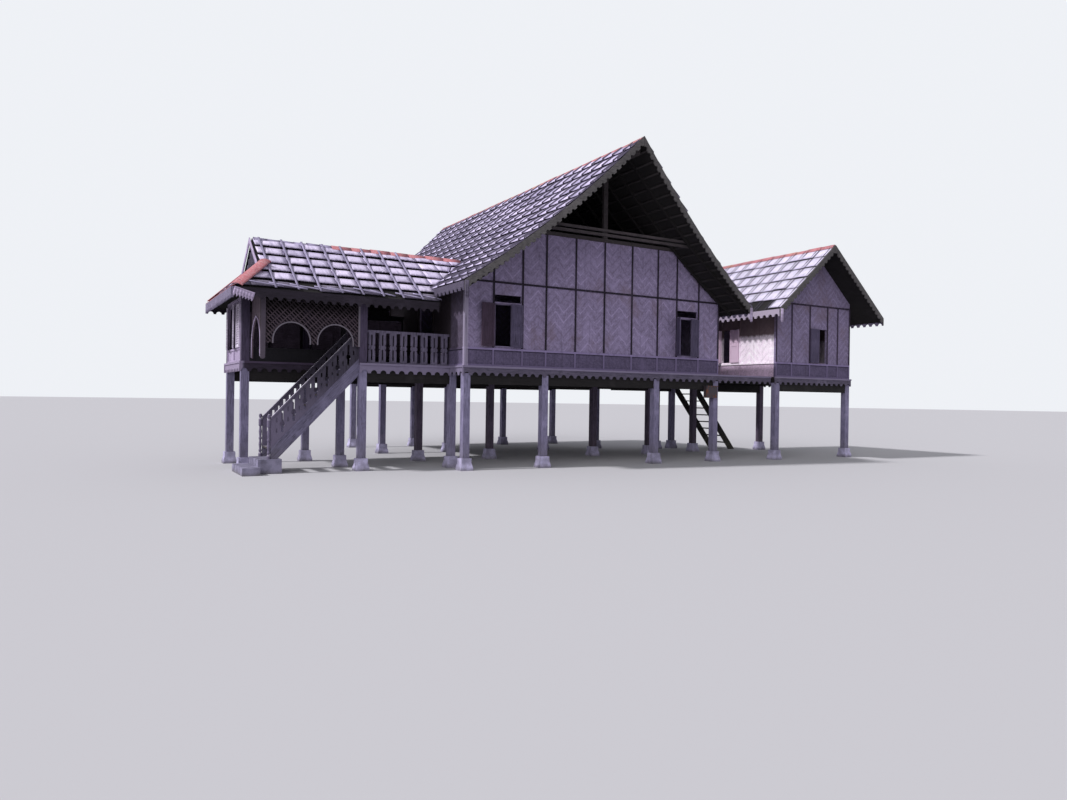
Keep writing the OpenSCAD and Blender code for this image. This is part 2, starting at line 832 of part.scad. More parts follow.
module porch_posts() {
    color(color_wood) {
        for (p = porch_tall)
            post(p, ped_h + seat, plate_z - seat);
        for (p = porch_short)
            post(p, ped_h + seat, joist_z - seat);
    }
}
module porch_post_space(grow) {
    for (p = porch_tall)
        box([p[0] - hp - grow, p[1] - hp - grow, 0], [p[0] + hp + grow, p[1] + hp + grow, porch_ridge_z]);
}
module porch_floor_frame() {
    gap = seat;
    color(color_dark)
        difference() {
            union() {
                bearers_x(-porch_l - hp, 0, [porch_y2], []);
                bearers_x(-porch_l - hp, -porch_bay - hp - post_s - gap, [porch_y1], []);
                bearers_x(-porch_bay, -hp - gap, [porch_y], []);
                joists_y(-porch_l - hp, -porch_bay - hp - gap, porch_y1 - hp, porch_y2 + hp);
                joists_y(-porch_bay - hp, -hp - gap, porch_y - hp, porch_y2 + hp);
            }
            porch_post_space(seat);
        }
}
module porch_floor() {
    color(color_dark)
        difference() {
            translate([0, 0, floor_h - board_t])
                linear_extrude(height = board_t)
                    polygon([[-porch_l - hp, porch_y1 - hp], [-porch_bay - hp, porch_y1 - hp],
                        [-porch_bay - hp, porch_y - hp], [-hp - seat, porch_y - hp],
                        [-hp - seat, porch_y2 + hp], [-porch_l - hp, porch_y2 + hp]]);
            porch_post_space(seat);
        }
}

// boarded wall of the porch between two posts, along X, with openings over its dado
plate_h = 130;
plate_z = porch_eave_z + porch_pitch * (porch_eave_out - hp) - porch_roof_t - plate_h - seat;
porch_wall_top = plate_z;
module porch_wall_solid(length, bays) {
    x0 = hp + seat;
    x1 = length - hp - seat;
    open_w = (x1 - x0 - (bays + 1) * batten_w) / bays;
    face = -hp + batten_d;
    module holes() {
        for (i = [0:bays - 1])
            translate([x0 + batten_w + i * (open_w + batten_w), floor_h + porch_sill])
                square([open_w, porch_window_h]);
    }
    push_y(face, face + wall_t / 2)
        difference() {
            translate([x0, floor_h + seat])
                square([x1 - x0, porch_wall_top - floor_h - 2 * seat]);
            holes();
        }
    push_y(-hp, face)
        difference() {
            union() {
                for (z = [floor_h + batten_w + seat, floor_h + porch_sill, porch_wall_top - seat])
                    translate([x0, z - batten_w])
                        square([x1 - x0, batten_w]);
                for (i = [0:bays])
                    translate([x0 + i * (open_w + batten_w), floor_h + seat])
                        square([batten_w, porch_wall_top - floor_h - 2 * seat]);
            }
            holes();
        }
}
module porch_end_wall() {
    color(color_pale)
        translate([-porch_l, porch_y2, 0])
            rotate([0, 0, -90])
                porch_wall_solid(porch_y2 - porch_y1, 2);
}
module porch_back_wall() {
    color(color_wood) {
        translate([-porch_back_bay, porch_y2, 0])
            rotate([0, 0, 180])
                porch_wall_solid(porch_l - porch_back_bay, 2);
        translate([0, porch_y2, 0])
            rotate([0, 0, 180])
                porch_wall_solid(porch_back_bay, 2);
    }
}
// low boarding on the stair side of the left bay, and the post at the head of the stair
head_s = 90;
head_rise = 130;
dado_t = 30;
dado_cap_h = 40;
dado_cap_t = 60;
dado_lip = 10;
module porch_dado() {
    y = porch_y1 - hp;
    x0 = -porch_l + hp + seat;
    x1 = -porch_bay - hp - head_s - seat;
    color(color_dark) {
        box([x0, y, floor_h + seat], [x1, y + dado_t, floor_h + porch_sill - dado_cap_h]);
        box([x0, y - dado_lip, floor_h + porch_sill - dado_cap_h + seat],
            [x1, y + dado_cap_t, floor_h + porch_sill]);
        box([x1 + seat, y, floor_h + seat],
            [x1 + seat + head_s, y + head_s, floor_h + rail_top + head_rise]);
    }
}
module porch_shutters() {
    length = porch_y2 - porch_y1;
    inner = length - 2 * hp - 2 * seat;
    open_w = (inner - 3 * batten_w) / 2;
    // the far bay's second leaf is gone
    turns = [[10, -1], [10, 0]];
    color(color_pale) {
        translate([-porch_l, porch_y2, 0])
            rotate([0, 0, -90])
                for (i = [0, 1])
                    leaf_pair(hp + seat + batten_w + open_w / 2 + i * (open_w + batten_w), open_w,
                        porch_window_h, floor_h + porch_sill, turns[i][0], turns[i][1], true);
        for (bay = [[0, porch_back_bay], [-porch_back_bay, porch_l - porch_back_bay]])
            let (clear = bay[1] - 2 * hp - 2 * seat, ow = (clear - 3 * batten_w) / 2)
                translate([bay[0], porch_y2, 0])
                    rotate([0, 0, 180])
                        for (i = [0, 1])
                            leaf_pair(hp + seat + batten_w + ow / 2 + i * (ow + batten_w), ow,
                                porch_window_h, floor_h + porch_sill, 0, 0, true);
    }
}

// lattice screen with two round arches, hung over the stair from the eaves beam
screen_t = 30;
screen_y = porch_y - hp;
pend_s = 90;
pend_drop = 250;
pend_tip = 35;
screen_in = 110;
module arch_lattice() {
    x0 = -porch_l + screen_in;
    x1 = -porch_bay - hp - seat;
    z0 = floor_h + arch_foot;
    z1 = plate_z - seat;
    rise = 70;
    ring = 26;
    ring_out = 8;
    top_rail = 60;
    side_rail = 40;
    mid = (x0 + pend_s + x1) / 2;
    gap = 90;
    centres = [mid - arch_r - gap, mid + arch_r + gap];
    module arch(c, r) {
        translate([c, z0 + rise])
            circle(r = r);
        translate([c - r, z0 - 1])
            square([2 * r, rise + 1]);
    }
    module field() {
        difference() {
            translate([x0 + pend_s, z0])
                square([x1 - x0 - pend_s, z1 - z0]);
            for (c = centres)
                arch(c, arch_r);
        }
    }
    module slats(dir, pitch) {
        reach = x1 - x0 + z1 - z0;
        n = ceil(reach / pitch / cos(45));
        intersection() {
            field();
            for (i = [0:n])
                translate([dir > 0 ? x0 - (z1 - z0) + i * pitch / cos(45)
                    : x1 + (z1 - z0) - i * pitch / cos(45), z0])
                    rotate(dir * 45)
                        translate([0, -slat_w / 2])
                            mirror([dir > 0 ? 0 : 1, 0])
                                square([2 * reach, slat_w]);
        }
    }
    color(color_wood)
        translate([0, screen_y, 0]) {
            push_y(0, screen_t / 2)
                slats(-1, slat_pitch);
            push_y(screen_t / 2, screen_t)
                slats(1, slat_pitch * 2);
            push_y(-ring_out, screen_t)
                difference() {
                    union() {
                        for (c = centres)
                            arch(c, arch_r + ring);
                        translate([x0 + pend_s, z1 - top_rail])
                            square([x1 - x0 - pend_s, top_rail]);
                        translate([x1 - side_rail, z0])
                            square([side_rail, z1 - z0]);
                    }
                    for (c = centres)
                        arch(c, arch_r);
                    translate([x0, 0])
                        square([x1 - x0, z0]);
                }
            push_y(-screen_t, pend_s - screen_t) {
                translate([x0, z0 - pend_drop])
                    square([pend_s, z1 - z0 + pend_drop]);
                translate([x0 + pend_s / 2, z0 - pend_drop - pend_tip])
                    circle(r = pend_s / 2);
            }
        }
}
// pointed arch in upright planks over the foot of the stair
module entrance_arch() {
    y0 = screen_y + pend_s - screen_t + seat;
    y1 = porch_y1 - hp - dado_lip - seat;
    w = y1 - y0;
    z0 = floor_h + 60;
    z1 = plate_z - seat;
    spring = floor_h + 360;
    r = w * 0.58;
    leg = 38;
    half = w / 2 - leg;
    x0 = -porch_l + screen_in + 10;
    color(color_pale)
        push_x(x0, x0 + screen_t)
            translate([y0, 0])
                difference() {
                    translate([0, z0])
                        square([w, z1 - z0]);
                    translate([w / 2 - half, z0 - 1])
                        square([2 * half, spring - z0 + 1]);
                    intersection() {
                        translate([w / 2 - half + r, spring])
                            circle(r = r);
                        translate([w / 2 + half - r, spring])
                            circle(r = r);
                        translate([0, spring])
                            square([w, r]);
                    }
                }
}
module porch_balustrade() {
    x0 = -porch_bay + hp + seat;
    x1 = -hp - seat;
    w = 155;
    t = 40;
    foot_h = 40;
    rail_h = 55;
    step = (x1 - x0) / baluster_n;
    z0 = floor_h + seat;
    color(color_pale)
        push_y(porch_y - t / 2, porch_y + t / 2) {
            for (i = [0:baluster_n - 1])
                translate([x0 + (i + 0.5) * step, z0 + foot_h / 5])
                    baluster_outline(w, rail_top - foot_h);
            translate([x0, z0])
                square([x1 - x0, foot_h]);
            translate([x0, floor_h + rail_top - rail_h])
                square([x1 - x0, rail_h]);
        }
}
module porch_beams() {
    z0 = plate_z;
    z1 = plate_z + plate_h;
    inner = 55;
    ridge_w = 100;
    ridge_h = 150;
    ridge_top = porch_ridge_z - porch_roof_t - porch_pitch * ridge_w / 2 - seat;
    x0 = -porch_l - hp;
    x1 = -eave_out - board_stop - 20;
    color(color_dark) {
        box([x0, porch_y - hp, z0], [x1, porch_y + inner, z1]);
        box([x0, porch_y2 - inner, z0], [x1, porch_y2 + hp, z1]);
        box([x0, porch_y + inner + seat, z0], [-porch_l + inner, porch_y2 - inner - seat, z1]);
        box([gablet_x + gablet_back + seat, porch_mid - ridge_w / 2, ridge_top - ridge_h],
            [x1, porch_mid + ridge_w / 2, ridge_top]);
    }
}

// the space taken by the main roof and house, which the porch roof runs up against
module main_house_space() {
    push_y(-verge_top - 200, main_l + verge_top + 200)
        translate([-eave_out, 0])
            polygon(concat([[-seat, 0]], [for (p = main_pts) [p[0] - seat, p[1] + seat]],
                [[roof_half + 10, 0]]));
}
module porch_slope() {
    difference() {
        intersection() {
            push_x(hip_x, main_w / 2)
                translate([porch_mid - porch_span, 0])
                    slope_outline(porch_pts, porch_roof_t);
            linear_extrude(height = porch_ridge_z + 1)
                polygon([[hip_x + seat, porch_mid - porch_span], [gablet_x + seat, porch_mid - gablet_half],
                    [gablet_x + seat, porch_mid - seat / 2], [main_w / 2, porch_mid - seat / 2],
                    [main_w / 2, porch_mid - porch_span]]);
        }
        main_house_space();
    }
}
module porch_roof_front() {
    color(color_roof)
        porch_slope();
}
module porch_roof_back() {
    color(color_roof)
        translate([0, 2 * porch_mid, 0])
            mirror([0, 1, 0])
                porch_slope();
}
module porch_roof_end() {
    color(color_roof)
        intersection() {
            push_y(porch_mid - porch_span, porch_mid + porch_span)
                translate([hip_x, 0])
                    polygon([[0, porch_eave_z], [hip_run, porch_eave_z + hip_rise],
                        [hip_run, porch_eave_z + hip_rise - porch_roof_t], [0, porch_eave_z - porch_roof_t]]);
            linear_extrude(height = porch_ridge_z)
                polygon([[hip_x, porch_mid - porch_span], [gablet_x, porch_mid - gablet_half],
                    [gablet_x, porch_mid + gablet_half], [hip_x, porch_mid + porch_span]]);
        }
}
// small gable over the porch's sloping end
gablet_t = 30;
gablet_back = 50;
module porch_gablet() {
    edge = 20;
    foot = porch_eave_z + hip_rise;
    top = porch_ridge_z - porch_roof_t;
    half = gablet_half - porch_roof_t / porch_pitch - edge;
    color(color_pale)
        push_x(gablet_x + gablet_back - gablet_t, gablet_x + gablet_back)
            translate([porch_mid, 0])
                polygon([[-half, foot - edge], [half, foot - edge], [0, top - 2 * edge]]);
}

// stair along X: foot on the base block, head against the porch floor
stair_x1 = -porch_bay - hp - seat;
stair_x0 = stair_x1 - stair_run;
riser = (floor_h - base_h) / riser_n;
going = stair_run / riser_n;
stair_grade = (floor_h - base_h) / stair_run;
stringer_v = stringer_d / cos(atan(stair_grade));
stringer_t = 45;
stair_y0 = porch_y - stringer_t / 2;
newel_in = 85;
newel_x = stair_x0 + newel_in;
newel_r = 38;
newel_h = 930;
nose_in = 150;
nose_lap = 20;
string_rise = 100;
// top edge of the stringers, a little above the line through the treads' noses
function stair_line(x) = base_h + (x - stair_x0) * stair_grade + string_rise;
module stringer_outline() {
    x0 = newel_x + newel_r + seat;
    intersection() {
        polygon([[x0, stair_line(x0)], [stair_x1, stair_line(stair_x1)],
            [stair_x1, stair_line(stair_x1) - stringer_v], [x0, stair_line(x0) - stringer_v]]);
        translate([x0, base_h + seat])
            square([stair_x1 - x0, floor_h]);
    }
}
module stair_stringers() {
    color(color_wood)
        for (y = [stair_y0, stair_y0 + stair_w - stringer_t])
            push_y(y, y + stringer_t)
                stringer_outline();
}
module stair_treads() {
    tread_t = 35;
    y0 = stair_y0 + stringer_t + seat;
    y1 = stair_y0 + stair_w - stringer_t - seat;
    color(color_dark)
        for (i = [1:riser_n])
            let (x = stair_x0 + nose_in + (i - 1) * going, z = base_h + i * riser)
                box([x - nose_lap, y0, z - tread_t], [min(x + going, stair_x1 - seat), y1, z]);
}
// sloping railing: boards with plumb cut-outs between and in them, closed by a handrail
rail_v = 610;
rail_t = 32;
hand_v = 55;
hand_t = 60;
railing_n = 8;
module railing_boards(n) {
    x0 = newel_x + newel_r + seat;
    x1 = stair_x1;
    step = (x1 - x0) / n;
    slot = 50;
    slot_z = 80;
    small = 34;
    small_h = 95;
    knot_z = 265;
    knot_r = 54;
    function line(x) = stair_line(x) + seat;
    difference() {
        polygon([[x0, line(x0)], [x1, line(x1)], [x1, line(x1) + rail_v], [x0, line(x0) + rail_v]]);
        for (i = [1:n - 1])
            translate([x0 + i * step, line(x0 + i * step)]) {
                translate([-slot / 2, slot_z])
                    square([slot, knot_z - slot_z - knot_r / 2]);
                translate([0, knot_z])
                    circle(r = knot_r);
                translate([-slot / 2, knot_z + knot_r / 2])
                    square([slot, rail_v - slot_z - knot_z - knot_r / 2]);
            }
        for (i = [0:n - 1])
            translate([x0 + (i + 0.5) * step, line(x0 + (i + 0.5) * step)])
                for (z = [190, 410])
                    translate([-small / 2, z])
                        square([small, small_h]);
    }
}
module railing_hand() {
    x0 = newel_x + newel_r + seat;
    x1 = stair_x1;
    function line(x) = stair_line(x) + seat + rail_v - hand_v / 2;
    polygon([[x0, line(x0)], [x1, line(x1)], [x1, line(x1) + hand_v], [x0, line(x0) + hand_v]]);
}
// turned newel
module newel(h) {
    r = newel_r;
    rotate_extrude()
        polygon([[0, 0], [r, 0], [r, 60], [r * 0.6, 90], [r * 0.9, 130], [r * 0.55, 170], [r * 0.85, 260],
            [r * 0.55, 350], [r * 0.9, 390], [r * 0.6, 430], [r * 0.85, 540], [r * 0.55, 640],
            [r, 670], [r, h - 130], [r * 0.6, h - 100], [r * 0.95, h - 50], [r * 0.6, h - 12], [0, h]]);
}
module stair_railings() {
    color(color_wood) {
        for (y = [stair_y0 + stringer_t / 2, stair_y0 + stair_w - stringer_t / 2]) {
            push_y(y - rail_t / 2, y + rail_t / 2)
                railing_boards(railing_n);
            push_y(y - hand_t / 2, y + hand_t / 2)
                railing_hand();
            translate([newel_x, y, base_h + seat])
                newel(newel_h);
        }
    }
}
// base block, with a lower step set to its left and forward
module stair_base() {
    front = 225;
    back = 255;
    side = 60;
    step_l = 350;
    step_out = 300;
    step_h = base_h * 0.53;
    y0 = stair_y0 - side;
    y1 = min(stair_y0 + stair_w + side / 3, porch_y1 - ped_low / 2 - seat);
    color(color_stone) {
        box([newel_x - front, y0, 0], [newel_x + back, y1, base_h]);
        box([newel_x - front - step_l, y0 - step_out, 0], [newel_x - front - seat, y1 - side, step_h]);
    }
}

module kitchen_posts() {
    color(color_wood) {
        for (p = concat(kitchen_points, deck_points))
            post(p, ped_h + seat, joist_z - seat);
    }
}
module kitchen_floor_frame() {
    color(color_dark) {
        bearers_x(kitchen_x - hp, kitchen_x2 + hp, [kitchen_y, kitchen_y2], kitchen_points);
        joists_y(kitchen_x - hp, kitchen_x2 + hp, kitchen_y - hp, kitchen_y2 + hp);
        bearers_x(main_w + hp + seat, landing_x, [deck_y2 - hp], deck_points);
        joists_y(main_w + hp + seat, kitchen_x - hp - 2 * seat, deck_y0, deck_y2);
        joists_y(kitchen_x - hp - seat, landing_x, deck_y2 - landing_d, deck_y2);
    }
}
module kitchen_floor() {
    color(color_dark)
        box([kitchen_x - hp, kitchen_y - hp, floor_h - board_t], [kitchen_x2 + hp, kitchen_y2 + hp, floor_h]);
}
module link_deck() {
    x0 = main_w + hp + seat;
    x1 = kitchen_x - hp - seat;
    color(color_dark)
        translate([0, 0, floor_h - board_t])
            linear_extrude(height = board_t)
                polygon([[x0, deck_y0], [x1, deck_y0], [x1, deck_y2 - landing_d],
                    [landing_x, deck_y2 - landing_d], [landing_x, deck_y2], [x0, deck_y2]]);
}
kitchen_tie_rise = 2120;
kitchen_tie = floor_h + kitchen_tie_rise;
kitchen_batten_in = [560, 470];
module kitchen_gable_solid(windows) {
    face = -hp + batten_d;
    battens = [-hp + batten_w / 2, kitchen_batten_in[0], kitchen_win - (window_w + batten_w) / 2,
        kitchen_win + (window_w + batten_w) / 2, kitchen_w - kitchen_batten_in[1],
        kitchen_w + hp - batten_w / 2];
    module region() {
        intersection() {
            translate([-hp, floor_h + seat])
                square([kitchen_w + 2 * hp, kitchen_ridge_z - floor_h]);
            translate([-kitchen_eave_out, 0])
                under_roof(kitchen_pts, kitchen_roof_t + seat);
        }
    }
    push_y(face, face + wall_t)
        difference() {
            region();
            for (x = windows)
                window_cut(x, window_w, false);
        }
    push_y(-hp, face)
        difference() {
            intersection() {
                union() {
                    grid_outline(kitchen_w, battens, [floor_h + batten_w + seat, floor_h + dado_h],
                        kitchen_tie);
                    translate([-hp, kitchen_tie - batten_w / 2])
                        square([kitchen_w + 2 * hp, batten_w]);
                }
                region();
            }
            for (x = windows)
                window_cut(x, window_w, false);
        }
}
module kitchen_gable_walls() {
    color(color_wood) {
        translate([kitchen_x, kitchen_y, 0])
            kitchen_gable_solid([kitchen_win]);
        translate([kitchen_x2, kitchen_y2, 0])
            rotate([0, 0, 180])
                kitchen_gable_solid([]);
    }
}
kitchen_wall_top = line_z(kitchen_pts, kitchen_eave_out - hp) - kitchen_roof_t - seat;
kitchen_door_in = 620;
kitchen_door = kitchen_l - kitchen_door_in;
module kitchen_side_walls() {
    color(color_wood) {
        translate([kitchen_x, kitchen_y2, 0])
            rotate([0, 0, -90])
                side_wall_solid(kitchen_l, [kitchen_l - kitchen_side_win], kitchen_l - kitchen_door,
                    kitchen_wall_top, false);
        translate([kitchen_x2, kitchen_y, 0])
            rotate([0, 0, 90])
                side_wall_solid(kitchen_l, [kitchen_side_win], -2 * kitchen_l, kitchen_wall_top, false);
    }
}
module kitchen_roof() {
    color(color_roof)
        translate([kitchen_x - kitchen_eave_out, 0, 0])
            push_y(kitchen_y - kitchen_verge, kitchen_y2 + kitchen_verge)
                polygon(concat(both(kitchen_pts), flipped(lowered(both(kitchen_pts), kitchen_roof_t))));
}

// plain open stair at the back, from the landing down along X
rear_run = 1900;
module rear_stair() {
    n = 10;
    side_in = 40;
    side_t = 50;
    side_d = 250;
    tread_t = 35;
    nose = 10;
    tread_in = 30;
    x0 = landing_x + seat;
    x1 = x0 + rear_run;
    y0 = deck_y2 - landing_d + side_in;
    y1 = deck_y2 - side_in;
    step = rear_run / n;
    module side() {
        intersection() {
            polygon([[x0, floor_h], [x1, 0], [x1 - side_d, 0], [x0, floor_h - side_d * floor_h / rear_run]]);
            translate([x0, 0])
                square([rear_run, floor_h]);
        }
    }
    color(color_dark) {
        for (y = [y0, y1 - side_t])
            push_y(y, y + side_t)
                side();
        for (i = [1:n - 1])
            let (z = floor_h - i * floor_h / n, x = x0 + (i - 1) * step)
                box([x + tread_in, y0 + side_t + seat, z - tread_t],
                    [x + step + nose, y1 - side_t - seat, z]);
    }
}
// small cabinet with an overhanging lid, on the front of the last post
module meter_box() {
    w = 380;
    h = 300;
    d = 120;
    lid = 15;
    lid_t = 25;
    x = main_w - 245;
    y = -hp - seat;
    top = floor_h - 330;
    color(color_pale) {
        box([x - w / 2, y - d, top - h], [x + w / 2, y, top]);
        box([x - w / 2 - lid, y - d - lid, top + seat], [x + w / 2 + lid, y, top + lid_t]);
    }
}

pedestals();
main_posts();
main_floor_frame();
main_floor();
front_wall();
back_wall();
left_wall();
right_wall();
gable_frames();
window_shutters();
main_roof_left();
main_roof_right();
ridge_caps();
bargeboards();
eave_boards();
floor_trims();
porch_posts();
porch_floor_frame();
porch_floor();
porch_end_wall();
porch_back_wall();
porch_dado();
porch_shutters();
arch_lattice();
entrance_arch();
porch_balustrade();
porch_beams();
porch_roof_front();
porch_roof_back();
porch_roof_end();
porch_gablet();
stair_stringers();
stair_treads();
stair_railings();
stair_base();
kitchen_posts();
kitchen_floor_frame();
kitchen_floor();
kitchen_gable_walls();
kitchen_side_walls();
kitchen_roof();
link_deck();
rear_stair();
meter_box();
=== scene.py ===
"""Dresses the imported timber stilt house: roof coverings, caps, boards, window frames and finishes.

Everything is in metres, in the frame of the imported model: X runs along the gable front, Y goes back, Z is up.
"""

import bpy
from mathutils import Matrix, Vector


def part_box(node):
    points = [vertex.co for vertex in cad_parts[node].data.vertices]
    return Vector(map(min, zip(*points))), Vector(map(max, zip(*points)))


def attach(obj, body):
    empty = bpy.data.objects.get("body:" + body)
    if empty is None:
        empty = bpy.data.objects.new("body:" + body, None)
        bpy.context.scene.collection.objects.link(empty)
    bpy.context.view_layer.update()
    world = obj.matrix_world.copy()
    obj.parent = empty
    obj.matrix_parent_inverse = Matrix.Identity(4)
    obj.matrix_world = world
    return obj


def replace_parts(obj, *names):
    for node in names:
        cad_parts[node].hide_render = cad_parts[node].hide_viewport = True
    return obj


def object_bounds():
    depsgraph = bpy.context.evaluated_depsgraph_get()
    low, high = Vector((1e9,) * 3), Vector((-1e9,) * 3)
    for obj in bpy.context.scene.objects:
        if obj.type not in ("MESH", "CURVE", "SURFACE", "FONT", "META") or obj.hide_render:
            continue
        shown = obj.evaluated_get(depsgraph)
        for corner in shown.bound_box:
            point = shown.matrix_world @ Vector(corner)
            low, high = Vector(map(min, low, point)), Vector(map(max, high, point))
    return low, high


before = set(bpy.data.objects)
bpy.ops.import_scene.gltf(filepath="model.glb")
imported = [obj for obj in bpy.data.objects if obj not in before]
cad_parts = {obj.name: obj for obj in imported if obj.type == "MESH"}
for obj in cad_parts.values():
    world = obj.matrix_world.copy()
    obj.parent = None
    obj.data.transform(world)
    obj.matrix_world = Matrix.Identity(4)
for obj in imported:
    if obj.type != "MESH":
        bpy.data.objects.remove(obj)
CAD_BOX = [list(corner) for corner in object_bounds()]

import math

import bpy
import numpy as np
from mathutils import Matrix, Vector

bl_info = {
    "name": "Stilt House Finishes",
    "version": (1, 0, 0),
    "blender": (4, 5, 0),
    "location": "View3D > Sidebar > Stilt House",
    "description": "Roof coverings, boards, frames and weathered finishes for a timber stilt house",
    "category": "Object",
}

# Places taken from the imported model's own boxes; POST is half the side of a post
POST = 0.0825
MAIN_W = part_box("main_posts")[1].x - POST
MAIN_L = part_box("main_posts")[1].y - POST
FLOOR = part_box("main_floor")[1].z
DECK_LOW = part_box("main_floor")[0].z
EAVE_OUT = -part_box("main_roof_left")[0].x
KITCHEN = [tuple(c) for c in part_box("kitchen_posts")]
KITCHEN_ROOF = [tuple(c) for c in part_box("kitchen_roof")]

# Heights and openings of the walls, as the part's source has them
DADO_TOP, RAIL_TOP = FLOOR + 0.377, FLOOR + 0.425
SILL, WINDOW_W, WINDOW_H, WINDOW_IN = FLOOR + 0.452, 0.71, 0.99, 1.025
PANEL_FACE = 0.011       # how far the panels' plane lies behind the posts' faces

# Thin parts of the coverings
ROOF_DEEP = 0.11         # the main roof's slab, measured upright
BATTEN_THICK, BOARD_THICK = 0.024, 0.014
TRIM_TINT = 0.1          # the one tint of a trim that isn't made of slabs

# Roof lines, as the part's source has them
MAIN_RUN = MAIN_W / 2 + EAVE_OUT
MAIN_U = np.linspace(0, MAIN_RUN, 9)
MAIN_Z = 4.1 + 0.66 * MAIN_U + 0.842 * (MAIN_U / MAIN_RUN) ** 2
VERGE_LOW, VERGE_TOP = 0.89, 1.55
VERGE_FLARE = (VERGE_TOP - VERGE_LOW) / MAIN_RUN
PORCH_MID, PORCH_SPAN, PORCH_EAVE, PORCH_RIDGE = 2.235, 1.855, 3.755, 5.1
PORCH_PITCH = (PORCH_RIDGE - PORCH_EAVE) / PORCH_SPAN
HIP_X, GABLET_X = -4.9, -4.23
HIP_RISE = GABLET_X - HIP_X
HIP_FOOT = PORCH_EAVE + HIP_RISE
GABLET_HALF = PORCH_SPAN - HIP_RISE / PORCH_PITCH
KITCHEN_MID = (KITCHEN_ROOF[0][0] + KITCHEN_ROOF[1][0]) / 2
KITCHEN_HALF = KITCHEN_MID - KITCHEN_ROOF[0][0]
KITCHEN_EAVE, KITCHEN_RIDGE = 4.16, 6.12
KITCHEN_PITCH = (KITCHEN_RIDGE - KITCHEN_EAVE) / KITCHEN_HALF


def colour(name, about, value):
    """A colour property with the usual settings."""
    return bpy.props.FloatVectorProperty(name=name, description=about, default=value, subtype="COLOR",
                                         size=3, min=0.0, max=1.0)


def length(name, about, value):
    """A size property in metres."""
    return bpy.props.FloatProperty(name=name, description=about, default=value, unit="LENGTH", min=0.0)


class StiltHouseSizes(bpy.types.PropertyGroup):
    """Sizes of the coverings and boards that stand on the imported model."""
    tile_width: length("Tile width", "Cover width of one tile on the main roof", 0.43)
    tile_course: length("Tile course", "Exposed length of one course on the main roof", 0.425)
    sheet_width: length("Sheet width", "Width of a sheet on the porch and kitchen roofs", 0.455)
    porch_course: length("Porch course", "Exposed length of a course on the porch roof", 0.375)
    kitchen_course: length("Kitchen course", "Exposed length of a course on the kitchen roof", 0.485)
    strip_width: length("Strip width", "Width of the strips over the joints of the sheets", 0.045)
    cap_width: length("Cap width", "Width of one wing of the ridge caps", 0.15)
    batten_gap: length("Batten gap", "Spacing of the battens under the main roof", 0.30)


class StiltHouseColours(bpy.types.PropertyGroup):
    """Colours of the weathered finishes."""
    post: colour("Posts", "Bleached grey timber of the posts", (0.215, 0.195, 0.310))
    # Near black: the frame's own dark old timber, darkened further as painted shade under the floors and roofs
    frame_wood_in_shade: colour("Frame", "Old dark timber under the floors and roofs", (0.011, 0.009, 0.010))
    panel: colour("Panels", "Woven panels of the walls", (0.255, 0.212, 0.348))
    panel_dark: colour("Panel strands", "Dark strands of the woven panels", (0.120, 0.094, 0.148))
    batten: colour("Battens", "Thin dark battens over the panels", (0.016, 0.011, 0.021))
    dado: colour("Dado", "Plain boards below the windows", (0.104, 0.084, 0.152))
    # Much paler than the other woven walls: sun bleached, and also painted sunlight on the kitchen's sides
    kitchen_side: colour("Kitchen side", "Sun bleached side of the kitchen", (0.93, 0.80, 0.92))
    trim: colour("Trim", "Scalloped trims and eaves boards", (0.112, 0.096, 0.146))
    verge: colour("Bargeboards", "Bargeboards with a green cast", (0.105, 0.098, 0.100))
    porch: colour("Porch boards", "Pinkish boards of the porch's end wall", (0.42, 0.345, 0.50))
    arch: colour("Arch planks", "Brown planks of the pointed arch", (0.135, 0.098, 0.128))
    joinery: colour("Leaves", "Brown mauve window leaves", (0.086, 0.071, 0.128))
    louvre: colour("Louvres", "Pale louvred leaves of the porch", (0.60, 0.54, 0.66))
    # Dark, standing for the roof's shade over the railings' upper part: painted shade
    railing: colour("Railings", "Dark boards of the railings", (0.050, 0.043, 0.066))
    lattice: colour("Lattice", "Brown lattice screen", (0.078, 0.056, 0.072))
    tile: colour("Tiles", "Weathered pale tiles", (0.68, 0.61, 0.90))
    # Also paints the shade beside the tile ribs and under each course
    tile_dark: colour("Tile stains", "Dark growth on the tiles", (0.040, 0.032, 0.056))
    sheet: colour("Kitchen sheets", "Whitish sheets of the kitchen roof", (0.64, 0.60, 0.74))
    cap: colour("Caps", "Faded pink red of the ridge caps", (0.50, 0.17, 0.19))
    cap_warm: colour("Warm caps", "Orange parts of the ridge caps", (0.58, 0.31, 0.17))
    stone: colour("Concrete", "Pale bluish concrete of the feet", (0.47, 0.44, 0.62))
    metal: colour("Box", "Grey paint of the meter box", (0.050, 0.042, 0.052))


def sizes():
    return bpy.context.scene.stilt_house_sizes


def colours():
    return bpy.context.scene.stilt_house_colours


# Shader maths

def maths(operation, swap=False):
    """A method that adds one Math node; with swap, the other number comes first."""
    def method(self, other=0.0):
        a, b = (other, self) if swap else (self, other)
        return Value(self.finish, self.finish.node("ShaderNodeMath", {"operation": operation}, {0: a, 1: b}))
    return method


class Value:
    """A number on a shader socket; arithmetic on it adds Math nodes."""

    def __init__(self, finish, source):
        self.finish = finish
        self.socket = source if isinstance(source, bpy.types.NodeSocket) else source.outputs[0]

    __add__ = __radd__ = maths("ADD")
    __mul__ = __rmul__ = maths("MULTIPLY")
    __sub__, __rsub__ = maths("SUBTRACT"), maths("SUBTRACT", True)
    __truediv__, __rtruediv__ = maths("DIVIDE"), maths("DIVIDE", True)
    __abs__ = maths("ABSOLUTE")
    above = maths("GREATER_THAN")       # 1 where this number is the greater one, else 0
    larger = maths("MAXIMUM")
    pingpong = maths("PINGPONG")        # a triangle wave that runs from 0 to the other number and back


def tinted(shade, factor):
    return tuple(min(1.0, c * factor) for c in shade)


